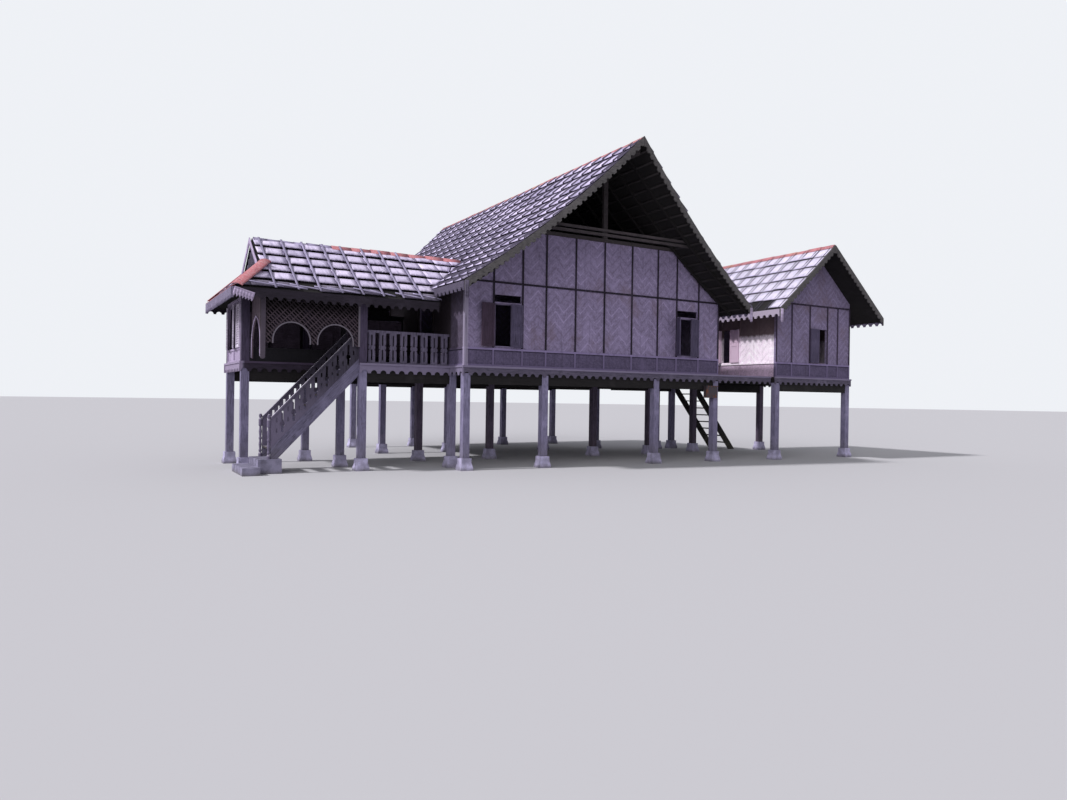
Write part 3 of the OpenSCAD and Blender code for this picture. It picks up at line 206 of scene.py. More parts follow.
class Finish:
    """The nodes of a material or of the world in the making; every node comes from its method node. tone is the
    colour so far, and a plain number in place of a colour is that multiple of the finish's own shade."""

    def __init__(self, name, shade=None, kept=None):
        self.material = (bpy.data.materials if kept is None else kept).new(name)
        self.material.use_nodes = True
        self.tree = self.material.node_tree
        self.tree.nodes.clear()
        self.shade, self.tone = shade, None

    def node(self, kind, settings=None, inputs=None):
        made = self.tree.nodes.new(kind)
        for key, value in (settings or {}).items():
            setattr(made, key, value)
        for key, value in (inputs or {}).items():
            socket = made.inputs[key]
            if isinstance(value, Value):
                value = value.socket
            if isinstance(value, bpy.types.NodeSocket):
                self.tree.links.new(value, socket)
            elif socket.type == "RGBA" and len(value) == 3:
                socket.default_value = (*value, 1.0)
            else:
                socket.default_value = value
        return made

    def place(self):
        """The point on the object, in metres."""
        return self.node("ShaderNodeTexCoord").outputs["Object"]

    def attribute(self, name, vector=False):
        made = self.node("ShaderNodeAttribute", {"attribute_name": name})
        return made.outputs["Vector"] if vector else Value(self, made.outputs["Fac"])

    def parts(self, vector):
        made = self.node("ShaderNodeSeparateXYZ", inputs={0: vector})
        return [Value(self, out) for out in made.outputs]

    def scaled(self, vector, scale, turn=(0, 0, 0)):
        made = self.node("ShaderNodeMapping", inputs={"Vector": vector, "Rotation": turn, "Scale": scale})
        return made.outputs[0]

    def noise(self, vector, scale, detail=3.0, rough=0.55, warp=0.0):
        return Value(self, self.node("ShaderNodeTexNoise", inputs={
            "Vector": vector, "Scale": scale, "Detail": detail, "Roughness": rough, "Distortion": warp}))

    def cells(self, vector, scale):
        return Value(self, self.node("ShaderNodeTexVoronoi", {"feature": "DISTANCE_TO_EDGE"},
                                     {"Vector": vector, "Scale": scale}))

    def span(self, value, low, high, to_low=0.0, to_high=1.0):
        """value from low..high spread smoothly over to_low..to_high."""
        return Value(self, self.node("ShaderNodeMapRange", {"interpolation_type": "SMOOTHSTEP"},
                                     {0: value, 1: low, 2: high, 3: to_low, 4: to_high}))

    def mix(self, share, a, b, blend="MIX"):
        a, b = (tinted(self.shade, v) if isinstance(v, (int, float)) else v for v in (a, b))
        made = self.node("ShaderNodeMix", {"data_type": "RGBA", "blend_type": blend}, {0: share, 6: a, 7: b})
        return made.outputs[2]

    def coat(self, share, shade, blend="MIX"):
        """Lays a colour over the tone, as far as share says."""
        self.tone = self.mix(share, self.tone, shade, blend)

    def wash(self, value, low, high, most, shade):
        """Lays a colour over the tone as value goes from low to high, up to the share most."""
        self.coat(self.span(value, low, high) * most, shade)

    def done(self, rough, height, depth, metallic=0.0):
        """The material: the tone, its roughness, and bumps of a height, depth metres deep."""
        bump = self.node("ShaderNodeBump", inputs={"Strength": 0.8, "Distance": depth, "Height": height})
        shader = self.node("ShaderNodeBsdfPrincipled", inputs={
            "Base Color": self.tone, "Roughness": rough, "Specular IOR Level": 0.3, "Metallic": metallic,
            "Normal": bump.outputs[0]})
        self.node("ShaderNodeOutputMaterial", inputs={"Surface": shader.outputs[0]})
        return self.material


def timber(name, shade, grain="Z", wear=0.5, stain=0.5, tilt=0.0, zones=(), tops=0.0):
    """Weathered timber. Grain is noise drawn out along one axis, or along the board's own length where grain is
    "board". Bleached patches and dark streaks come from slower noises, and dirt gathers low down. A zone is an
    axis, its two ends along it, a softness, a shade and a way to blend, for what differs there, and tops is how
    much paler the faces that look up are painted: a painted highlight from light above, together with sun bleaching."""
    f = Finish(name, shade)
    place = f.place()
    across = f.parts(place)
    base, lengthwise = (f.attribute("grain", True), "X") if grain == "board" else (place, grain)
    if tilt:
        base = f.scaled(base, (1, 1, 1), (0.0, tilt, 0.0))
    along = [0.9 if axis == lengthwise else 14.0 for axis in "XYZ"]
    fibre = f.noise(f.scaled(base, along), 4.2, 5.0, 0.62)
    split = f.span(f.noise(f.scaled(base, [a * 1.7 for a in along]), 3.1, 3.0, 0.5), 0.60, 0.68)
    patch = f.noise(place, 2.1, 4.0, 0.6)
    f.tone = f.mix(f.span(fibre, 0.30, 0.70), 0.66, 1.10)
    f.wash(patch, 0.50, 0.70, wear, 1.45)
    f.wash(f.noise(place, 11.0, 3.0, 0.6), 0.52, 0.74, stain, 0.45)
    f.coat(split * 0.75, 0.28)
    f.wash(across[2], 0.9, 0.0, 0.35, (0.16, 0.15, 0.12))
    for axis, low, high, soft, other, blend in zones:
        inside = f.span(across[axis], low - soft, low + soft) * f.span(across[axis], high + soft, high - soft)
        f.coat(inside * (0.85 if blend == "MIX" else 1.0), other, blend)
    # Painted highlight: faces that look up are made paler, as if lit from above, together with sun bleaching
    if tops:
        facing = f.parts(f.node("ShaderNodeNewGeometry").outputs["Normal"])[2]
        f.wash(facing, 0.35, 0.60, f.span(fibre, 0.25, 0.5) * tops, (0.60, 0.56, 0.66))
    if grain == "board":
        f.coat(f.attribute("tint"), 0.5)
    return f.done(0.86 - 0.14 * f.span(patch, 0.5, 0.7), fibre * 0.6 - split * 0.9, 0.005)


def panel_planes(low, high):
    """Centre and half size, in plan, of the box of the panels' outer faces, from the posts' box."""
    return [((low[i] + high[i]) / 2, (high[i] - low[i]) / 2 - PANEL_FACE) for i in (0, 1)]


def woven(name, shade, strands, batten, dado, planes, column=0.235, pitch=0.235, bleach=0.35, contrast=0.7,
          porch_shade=None, shaded_top=None):
    """Plaited panels between battens. The plait is a zigzag: the height plus a triangle wave along the wall, cut
    into bands with a pale edge and a dark edge; finer bands cross it, and slow noise fades it in patches. Points
    beyond the panels' planes are battens, and points below the rail over the dado are plain boards with a pale
    rail over them and a painted shadow just under it. porch_shade is the stretch of the left wall, along Y, that
    is painted dark and brown as the shade under the porch roof, reaching further up under the eaves, and
    shaded_top the height over which a wall is painted dark brown as the shadow of its eaves."""
    f = Finish(name, shade)
    place = f.place()
    x, y, z = f.parts(place)
    (mid_x, half_x), (mid_y, half_y) = planes
    out_x, out_y = abs(x - mid_x) - half_x, abs(y - mid_y) - half_y
    on_side = out_x.above(out_y)
    h = y * on_side + x * (1.0 - on_side)
    grain = f.noise(place, 24.0, 4.0, 0.65)
    patch = f.noise(place, 1.7, 4.0, 0.6)
    fade = f.noise(place, 2.3, 3.0, 0.6, 0.4)
    brown = f.noise(f.scaled(place, (1.0, 1.0, 0.7)), 1.25, 3.0, 0.6)
    wobble = f.noise(place, 4.5, 3.0) * 0.09
    wave = (h + wobble).pingpong(column)
    zig = (z + wave * 1.05 + wobble) / pitch
    fold_line = zig.pingpong(0.5)
    pale = f.span(fold_line, 0.13, 0.03) * f.span(fade, 0.40, 0.62)
    dark = f.span(fold_line, 0.33, 0.46) * f.span(fade, 0.64, 0.40)
    weave = (zig * 9.0).pingpong(0.5) + (wave / 0.016 + z * 24.0).pingpong(0.5)
    f.tone = f.mix(f.span(grain, 0.36, 0.66) * 0.7, 1.06, tinted(strands, 1.25))
    f.coat(pale * contrast, 1.55)
    f.coat(dark * (contrast * 0.8), tinted(strands, 1.1))
    f.wash(weave, 0.25, 0.75, 0.22, 1.3)
    f.wash(patch, 0.50, 0.72, bleach, 1.45)
    f.wash(brown, 0.54, 0.70, 0.42, (0.150, 0.100, 0.115))
    plain = 1.0 - z.above(DADO_TOP)
    rail = plain.larger(1.0 - z.above(RAIL_TOP)) - plain
    seams = f.span(h.pingpong(0.115), 0.004, 0.0)
    panels, f.tone = f.tone, f.mix(f.span(grain, 0.35, 0.7), tinted(dado, 0.72), tinted(dado, 1.15))
    f.coat(seams * 0.6, tinted(dado, 0.3))
    f.wash(patch, 0.46, 0.7, 0.5, tinted(dado, 1.5))
    # Painted shadow: a dark line just under the rail over the dado
    f.wash(z, DADO_TOP - 0.042, DADO_TOP - 0.005, 0.8, tinted(dado, 0.2))
    f.tone = f.mix(plain, panels, f.tone)
    streak = f.noise(f.scaled(place, (9.0, 9.0, 0.6)), 1.5, 4.0)
    ridge = out_x.larger(out_y).above(0.0)
    rails = f.mix(f.span(streak, 0.35, 0.7), tinted(batten, 0.7), tinted(batten, 1.5))
    rails = f.mix(rail, f.mix(plain, rails, tinted(dado, 1.5)), tinted(dado, 2.3))
    f.coat(ridge, rails)
    corner = (1.0 - x.above(mid_x - half_x + 0.09)) * (1.0 - y.above(mid_y - half_y + 0.09))
    f.coat(corner * f.span(streak, 0.25, 0.45) * 0.85, (0.34, 0.30, 0.41))
    f.wash(streak, 0.52, 0.75, 0.35, tinted(strands, 0.6))
    # Painted shadow of the eaves: above this height the wall is painted dark brown
    if shaded_top:
        level = z + f.noise(place, 9.0, 2.0) * 0.12
        f.wash(level, shaded_top, shaded_top + 0.10, 0.9, (0.085, 0.045, 0.045))
    # Painted shade: the left wall under the porch roof, and further up under the eaves, goes near black
    if porch_shade:
        start, full, end = porch_shade
        left = f.span(x, -0.03, -0.05) * (1.0 - plain) * f.span(y, start, start + 0.03)
        left = left * f.span(y - 0.95 * f.span(z, 3.64, 3.74), end + 0.03, end)
        f.coat(left * f.span(y, full - 0.1, full, 0.72, 0.95), (0.018, 0.011, 0.013))
    height = weave * 0.5 * (1.0 - ridge) * (1.0 - plain) + grain * 0.5 - seams * plain
    return f.done(0.86 + 0.08 * grain, height, 0.006)


def boarded(name, shade, pitch, axis):
    """Upright boards: seams at every pitch along the wall's axis, grain drawn out upwards, a tint to a board."""
    f = Finish(name, shade)
    place = f.place()
    seam = f.span(f.parts(place)[axis].pingpong(pitch / 2), 0.005, 0.0)
    each = f.noise(f.scaled(place, (1 / pitch, 1 / pitch, 0.02)), 1.0, 0.0)
    fibre = f.noise(f.scaled(place, (15.0, 15.0, 1.0)), 4.0, 5.0, 0.6)
    f.tone = f.mix(f.span(fibre, 0.32, 0.68), 0.62, 1.12)
    f.wash(each, 0.4, 0.65, 0.35, 0.6)
    f.wash(f.noise(place, 2.4, 4.0, 0.6), 0.48, 0.7, 0.5, 1.35)
    f.coat(seam * 0.8, 0.2)
    return f.done(0.86, fibre * 0.5 - seam, 0.005)


def tiled(name, shade, stain, ribbed=False, dark_below=-9.0):
    """Weathered tiles or sheets. Each has its own tint, dark growth towards its lower edge, and chalky patches
    from slow noise; the part's own grain attribute gives the place on a tile. With ribbed set, the stain colour
    covers the rib along one side of the tile and creeps from it over the upper part: painted shade of the rib and
    of the next course's edge, together with growth. Below dark_below it covers nearly all."""
    f = Finish(name, shade)
    place, grain = f.place(), f.attribute("grain", True)
    up, across, _ = f.parts(grain)
    fine = f.noise(place, 26.0, 4.0, 0.65)
    run = f.noise(f.scaled(grain, (1.0, 5.0, 5.0)), 3.2, 4.0, 0.6)
    f.tone = f.mix(f.attribute("tint"), 1.2, 0.62)
    f.wash(run, 0.50, 0.70, 0.6, 0.45)
    f.wash(fine, 0.50, 0.72, 0.45, 0.5)
    f.wash(f.noise(place, 1.3, 4.0, 0.6), 0.52, 0.72, 0.45, tinted(stain, 1.6))
    # Painted shade: dark beside each tile's rib and over its upper part under the next course, together with growth
    if ribbed:
        f.wash(abs(across - 0.040) - up * 0.05 - fine * 0.03, 0.036, 0.012, 0.94, stain)
        f.wash(up + fine * 0.06, 0.37, 0.43, 0.8, stain)
    f.wash(f.parts(place)[2] + fine * 0.12, dark_below + 0.16, dark_below + 0.02, 0.9, stain)
    f.wash(up, 0.055, 0.0, f.span(fine, 0.3, 0.6) * (0.35 if ribbed else 0.7), stain)
    return f.done(0.80 + 0.12 * fine, fine * 0.6 + run * 0.4, 0.004)


def fired(name, shade, warm, dark):
    """Faded red caps: pink red and orange in slow patches, chalk on top and dark lichen in spots."""
    f = Finish(name, shade)
    place = f.place()
    fine = f.noise(place, 30.0, 4.0, 0.65)
    spots = f.noise(place, 9.0, 4.0, 0.7)
    f.tone = f.mix(f.span(f.noise(place, 1.1, 3.0, 0.6), 0.54, 0.72), 1.0, warm)
    f.coat(f.attribute("tint") * 0.45, 0.6)
    f.wash(fine, 0.44, 0.68, 0.5, (0.62, 0.48, 0.52))
    f.wash(spots, 0.56, 0.70, 0.6, dark)
    return f.done(0.84, fine * 0.6 + spots * 0.4, 0.004)


def cast(name, shade):
    """Weathered concrete: blotches, pits, damp and green towards the ground."""
    f = Finish(name, shade)
    place = f.place()
    blotch = f.noise(place, 3.2, 5.0, 0.6)
    fine = f.noise(place, 48.0, 4.0, 0.7)
    pits = f.span(f.cells(place, 34.0), 0.10, 0.0)
    f.tone = f.mix(f.span(blotch, 0.34, 0.66), 0.62, 1.22)
    f.wash(fine, 0.5, 0.72, 0.5, 0.55)
    f.wash(f.parts(place)[2] + blotch * 0.10, 0.16, 0.02, 0.65, (0.12, 0.115, 0.095))
    return f.done(0.90, fine * 0.5 + blotch * 0.5 - pits * 0.25, 0.006)


def painted_metal(name, shade):
    """Grey painted sheet with rust that eats in from the edges and runs down."""
    f = Finish(name, shade)
    place = f.place()
    fine = f.noise(place, 60.0, 3.0, 0.6)
    rust = f.span(f.noise(f.scaled(place, (9.0, 9.0, 2.2)), 1.6, 5.0, 0.65), 0.50, 0.62)
    red = f.mix(f.span(fine, 0.3, 0.7), (0.10, 0.035, 0.022), (0.20, 0.085, 0.050))
    f.tone = f.mix(rust, 1.0, red)
    return f.done(0.45 + 0.4 * rust, fine * 0.3 + rust * 0.7, 0.002, metallic=0.25 - 0.25 * rust)


# Surfaces worked out with numpy

def xyz(*columns):
    """Rows of coordinates from their columns; a plain number fills its column."""
    return np.stack(np.broadcast_arrays(*columns), -1).astype(float)


def unit(v):
    """Rows brought to length 1."""
    return v / np.linalg.norm(v, axis=-1, keepdims=True)


class Slope:
    """One roof slope. A point is corner + t * along + u(s) * inward, with its height from the roof line, where
    s is measured up the slope from the eaves: the running sum of the lengths of the line's chords. The normal is
    square to the chord under it."""

    def __init__(self, corner, along, inward, us, zs):
        self.corner, self.along, self.inward = (np.array(v, float) for v in (corner, along, inward))
        self.us, self.zs = np.array(us, float), np.array(zs, float)
        self.ss = np.concatenate([[0.0], np.cumsum(np.hypot(np.diff(us), np.diff(zs)))])

    def inset(self, s):
        return np.interp(s, self.ss, self.us)

    def at(self, s, t):
        s, t = np.broadcast_arrays(np.asarray(s, float), np.asarray(t, float))
        point = self.corner + t[..., None] * self.along + self.inset(s)[..., None] * self.inward
        point[..., 2] = np.interp(s, self.ss, self.zs)
        return point

    def up(self, s):
        """Unit vector up the slope at s."""
        low, high = np.clip(s - 0.01, 0, self.ss[-1] - 0.02), np.clip(s + 0.01, 0.02, self.ss[-1])
        return unit(self.at(high, 0 * high) - self.at(low, 0 * low))

    def normal(self, s):
        n = np.cross(self.along, self.up(s))
        return n * np.sign(n[..., 2:3])


def slabs(origin, along, up, normal, thick, nu=1, nv=1, lift=0.0, bend=0.0, spread=0.0):
    """Closed slabs, one for each row of the arrays. A slab's top is origin + a * along + b * up + a * b * spread
    + (thick + lift + bend) * normal over a grid of a and b from 0 to 1, its underside is the same with the bend
    alone, and a wall joins their rims. Returns points, four-sided faces and each point's a, b and slab."""
    arrays = [np.atleast_2d(np.asarray(v, float)) for v in (origin, along, up, normal, spread)]
    m = max(len(v) for v in arrays)
    origin, along, up, normal, spread = (np.broadcast_to(v, (m, 3)) for v in arrays)
    thick = np.broadcast_to(np.asarray(thick, float).reshape(-1), (m,))
    a, b = np.meshgrid(np.linspace(0, 1, nu + 1), np.linspace(0, 1, nv + 1), indexing="ij")
    a, b = a.ravel(), b.ravel()
    k = len(a)
    lift, bend = (np.broadcast_to(np.asarray(v, float), (m, k)) for v in (lift, bend))
    flat = (origin[:, None] + a[None, :, None] * along[:, None] + b[None, :, None] * up[:, None]
            + (a * b)[None, :, None] * spread[:, None] + bend[..., None] * normal[:, None])
    top = flat + (thick[:, None] + lift)[..., None] * normal[:, None]
    points = np.concatenate([top, flat], axis=1)
    index = np.arange(k).reshape(nu + 1, nv + 1)
    quad = np.stack([index[:-1, :-1], index[1:, :-1], index[1:, 1:], index[:-1, 1:]], -1).reshape(-1, 4)
    rim = np.concatenate([index[:, 0], index[-1, 1:], index[-2::-1, -1], index[0, -2:0:-1]])
    after = np.roll(rim, -1)
    wall = np.stack([rim, rim + k, after + k, after], -1)
    faces = np.concatenate([quad, quad[:, ::-1] + k, wall])
    inside = np.einsum("ij,ij->i", np.cross(along, up), normal) < 0
    every = faces[None] + (np.arange(m) * 2 * k)[:, None, None]
    every = np.where(inside[:, None, None], every[:, :, ::-1], every)
    share = np.stack([np.tile(a, 2), np.tile(b, 2)], -1)
    return points.reshape(-1, 3), every.reshape(-1, 4), np.tile(share, (m, 1)), np.repeat(np.arange(m), 2 * k)


def skin(index):
    """Four-sided faces between neighbouring rings of points, given as rows of their numbers."""
    after = np.roll(index, -1, axis=1)
    return np.stack([index[:-1], after[:-1], after[1:], index[1:]], -1).reshape(-1, 4)


def swept(path, profile, side, upward):
    """A closed profile carried along a path: point = path + p * side + q * upward at each station, for every
    corner (p, q) of the profile, with both ends closed by fans around the profile's middle."""
    profile, n, m = np.asarray(profile, float), len(path), len(profile)
    upward = np.broadcast_to(np.asarray(upward, float), path.shape)
    ring = path[:, None] + profile[None, :, :1] * side[:, None] + profile[None, :, 1:] * upward[:, None]
    index = np.arange(n * m).reshape(n, m)
    points = np.concatenate([ring.reshape(-1, 3), ring[[0, -1]].mean(axis=1)])
    first = np.stack([np.full(m, n * m), np.roll(index[0], -1), index[0]], -1)
    last = np.stack([np.full(m, n * m + 1), index[-1], np.roll(index[-1], -1)], -1)
    return points, [skin(index), first, last]


def put_mesh(name, points, faces, tint=None, grain=None):
    """Makes a mesh object from arrays. faces is a list of arrays of equal-sided faces. The materials read a
    point's tint, a number, and its grain, its place on its own board or tile."""
    mesh = bpy.data.meshes.new(name)
    mesh.vertices.add(len(points))
    mesh.vertices.foreach_set("co", np.asarray(points, np.float32).ravel())
    corners = np.concatenate([f.ravel() for f in faces])
    sides = np.concatenate([np.full(len(f), f.shape[1]) for f in faces])
    mesh.loops.add(len(corners))
    mesh.loops.foreach_set("vertex_index", corners.astype(np.int32))
    mesh.polygons.add(len(sides))
    mesh.polygons.foreach_set("loop_start", (np.cumsum(sides) - sides).astype(np.int32))
    mesh.update(calc_edges=True)
    for label, kind, key, values, shape in (("tint", "FLOAT", "value", tint, (len(points),)),
                                            ("grain", "FLOAT_VECTOR", "vector", grain, (len(points), 3))):
        if values is not None:
            values = np.broadcast_to(values, shape).astype(np.float32).ravel()
            mesh.attributes.new(label, kind, "POINT").data.foreach_set(key, values)
    made = bpy.data.objects.new(name, mesh)
    bpy.context.scene.collection.objects.link(made)
    return made


def fit(made, finish):
    made.data.materials.append(finish)
    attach(made, "root")
    return made


def slab_piece(name, finish, slot, origin, along, up, normal, thick, seed, tone=(0, 1), lengthwise=False, **grid):
    """Slabs as one piece that rides on the house. Each slab draws its tint from the range tone. Its grain is the
    place on it in metres, first along up, or first along along where lengthwise is set, and then its offset."""
    points, faces, share, which = slabs(origin, along, up, normal, thick, **grid)
    count = which[-1] + 1
    tint = np.random.default_rng(seed).uniform(*tone, count)
    spans = xyz(*(np.broadcast_to(np.linalg.norm(np.atleast_2d(v), axis=1), (count,)) for v in (along, up)))
    first, second = (share * spans[which]).T[::1 if lengthwise else -1]
    return fit(put_mesh(name, points, [faces], tint[which], xyz(first, second, which * 0.37 % 7.0)), finish)


# Slopes of the house

def main_slope(right=False):
    x, inward = (MAIN_W + EAVE_OUT, (-1, 0, 0)) if right else (-EAVE_OUT, (1, 0, 0))
    return Slope((x, 0, 0), (0, 1, 0), inward, MAIN_U, MAIN_Z)


def porch_slope(back=False):
    y, inward = (PORCH_MID + PORCH_SPAN, (0, -1, 0)) if back else (PORCH_MID - PORCH_SPAN, (0, 1, 0))
    return Slope((0, y, 0), (1, 0, 0), inward, (0, PORCH_SPAN), (PORCH_EAVE, PORCH_RIDGE))


def hip_slope():
    return Slope((HIP_X, 0, 0), (0, 1, 0), (1, 0, 0), (0, HIP_RISE), (PORCH_EAVE, HIP_FOOT))


def kitchen_slope(right=False):
    x, inward = (KITCHEN_ROOF[1][0], (-1, 0, 0)) if right else (KITCHEN_ROOF[0][0], (1, 0, 0))
    return Slope((x, 0, 0), (0, 1, 0), inward, (0, KITCHEN_HALF), (KITCHEN_EAVE, KITCHEN_RIDGE))


def cover(slope, start, end, width, course, joint, gap, over):
    """Cells of a covering: courses up the slope and columns along it, each cell cut to the slope's two ends at
    its lower and upper edge, so that it tapers along a hip or a verge. start and end give the ends as functions
    of s, and over is how far a cell reaches in courses. Returns s, the upper s, t and width at the lower edge,
    t and width at the upper edge, and the course."""
    total = slope.ss[-1]
    rows = max(1, round(total / course))
    s = np.arange(rows) * total / rows
    top = np.minimum(s + total / rows * over, total - 0.012)
    ends = [(np.broadcast_to(start(v), s.shape) + gap, np.broadcast_to(end(v), s.shape) - gap) for v in (s, top)]
    columns = np.arange(np.floor(min(e[0].min() for e in ends) / width),
                        np.ceil(max(e[1].max() for e in ends) / width)) * width
    low = [np.clip(columns[None] + joint, e[0][:, None], e[1][:, None]) for e in ends]
    span = [np.clip(columns[None] + width, e[0][:, None], e[1][:, None]) - t for e, t in zip(ends, low)]
    keep = np.maximum(*span) > 0.05
    row = np.broadcast_to(np.arange(rows)[:, None], keep.shape)[keep]
    cells = [low[0][keep], np.maximum(span[0][keep], 0.004), low[1][keep], np.maximum(span[1][keep], 0.004)]
    return s[row], top[row], *cells, total / rows


def lay_cells(name, finish, slope, low, high, n, w, w_top, lift, askew=0.0, **rest):
    """Lays one slab over each cell. lift is a function of a and b, the places across a slab and up it."""
    a, b = np.meshgrid(np.linspace(0, 1, rest["nu"] + 1), (0, 1), indexing="ij")
    return slab_piece(name, finish, "roof_tiles", low, slope.along * w[:, None] + askew, high - low, n,
                      lift=lift(a, b).ravel(), spread=slope.along * (w_top - w)[:, None], **rest)


def lay_tiles(name, slope, start, end, finish, seed):
    """Large tiles. Each rises towards its lower edge over the one below, has a rib along one side and a shallow
    dish beside it: lift = 0.036 * exp(-((a - 0.10) / 0.05)^2) * (1 - 0.4 b) - 0.008 * sin(pi a) * (1 - b)."""
    z = sizes()
    s, top, t, w, t_top, w_top, _ = cover(slope, start, end, z.tile_width, z.tile_course, joint=0.010, gap=0.004,
                                          over=1.08)
    rng = np.random.default_rng(seed)
    slip = rng.normal(0, 0.012, len(s))
    n = slope.normal(s + 0.01)
    top = np.minimum(top, slope.ss[-1] - 0.09)
    low = slope.at(np.maximum(s - 0.012 + slip, 0.0), t) + n * (0.036 + rng.uniform(0, 0.014, len(s)))[:, None]
    high = slope.at(top, t_top) + slope.normal(np.minimum(top, slope.ss[-1] - 0.02)) * 0.002

    def lift(a, b):
        rib = 0.036 * np.exp(-((a - 0.10) / 0.05) ** 2) * (1 - 0.4 * b)
        return rib - 0.008 * np.sin(np.pi * a) * (1 - b)

    lay_cells(name, finish, slope, low, high, n, w, w_top, lift, thick=0.012, nu=10, seed=seed)


def lay_sheets(name, slope, start, end, course, finish, seed, rise, joint=0.012, ragged=0.0, foot=0.0,
               tone=(0, 1)):
    """Flat sheets in courses. Each lies on the one below at its lower edge, a little askew, and bows:
    lift = 0.006 * sin(pi a) * (1 - b). ragged shortens and drops some sheets of the lowest course, and no sheet
    starts below foot."""
    cells = cover(slope, start, end, sizes().sheet_width, course, joint, gap=0.006, over=0.93)
    rng = np.random.default_rng(seed)
    keep = (cells[0] > 0.01) | (rng.uniform(size=len(cells[0])) >= ragged)
    s, top, t, w, t_top, w_top = (v[keep] for v in cells[:6])
    n = slope.normal(s + 0.01)
    slip = rng.normal(0, 0.010, len(s)) + (s < 0.01) * rng.uniform(0, 0.5 * ragged * cells[6], len(s))
    low = slope.at(np.maximum(s + 0.004 + slip, foot), t) + n * (rise + rng.uniform(-0.006, 0.006, len(s)))[:, None]
    lay_cells(name, finish, slope, low, slope.at(top, t_top) + n * 0.003, n, w, w_top,
              lambda a, b: 0.006 * np.sin(np.pi * a) * (1 - b), rng.normal(0, 0.006, (len(s), 3)), thick=0.010,
              nu=4, seed=seed, tone=tone)


def lay_strips(name, slope, places, start, width, height, finish, slot, seed, lean, off):
    """Strips up a slope over the joints of its sheets: flat slabs along the slope's chord, off above it, each
    leaning a little."""
    t = np.asarray(places, float)
    shift = np.random.default_rng(seed).normal(0, lean, len(t))
    s = np.full(len(t), start)
    n = slope.normal(s + 0.02)
    low = slope.at(s, t - width / 2) + n * off
    high = slope.at(slope.ss[-1] - 0.03, t - width / 2 + shift) + n * off
    slab_piece(name, finish, slot, low, slope.along * width * np.ones((len(t), 1)), high - low, n, height, seed,
               (0, 0.6), nv=6)


def teeth_board(name, start, direction, down, run, height, tooth, finish, seed, wave):
    """A thin board that faces the front and has a saw-toothed lower edge: columns of slabs whose depth is
    height * (1 - wave * |saw|), the saw being a triangle wave of the given tooth width along the board."""
    cols = max(2, int(round(run / tooth)) * 4)
    edge = np.linspace(0, run, cols + 1)
    depth = height * (1 - wave * np.abs(((edge / tooth) % 1.0) * 2 - 1))
    direction, down, out = np.array(direction, float), np.array(down, float), np.array((0, -BOARD_THICK, 0))
    top = np.array(start, float) + edge[:, None] * direction
    low = top + depth[:, None] * down
    points = np.stack([top, low, low + out, top + out], axis=1).reshape(-1, 3)
    index = np.arange(len(points)).reshape(-1, 4)
    faces = np.concatenate([skin(index)[:, ::-1], [index[0], index[-1][::-1]]])
    grain = xyz(points @ direction, points @ down, seed * 0.7)
    fit(put_mesh(name, points, [faces], TRIM_TINT, grain), finish)


# Finishes by name, made once

FINISHES = {}


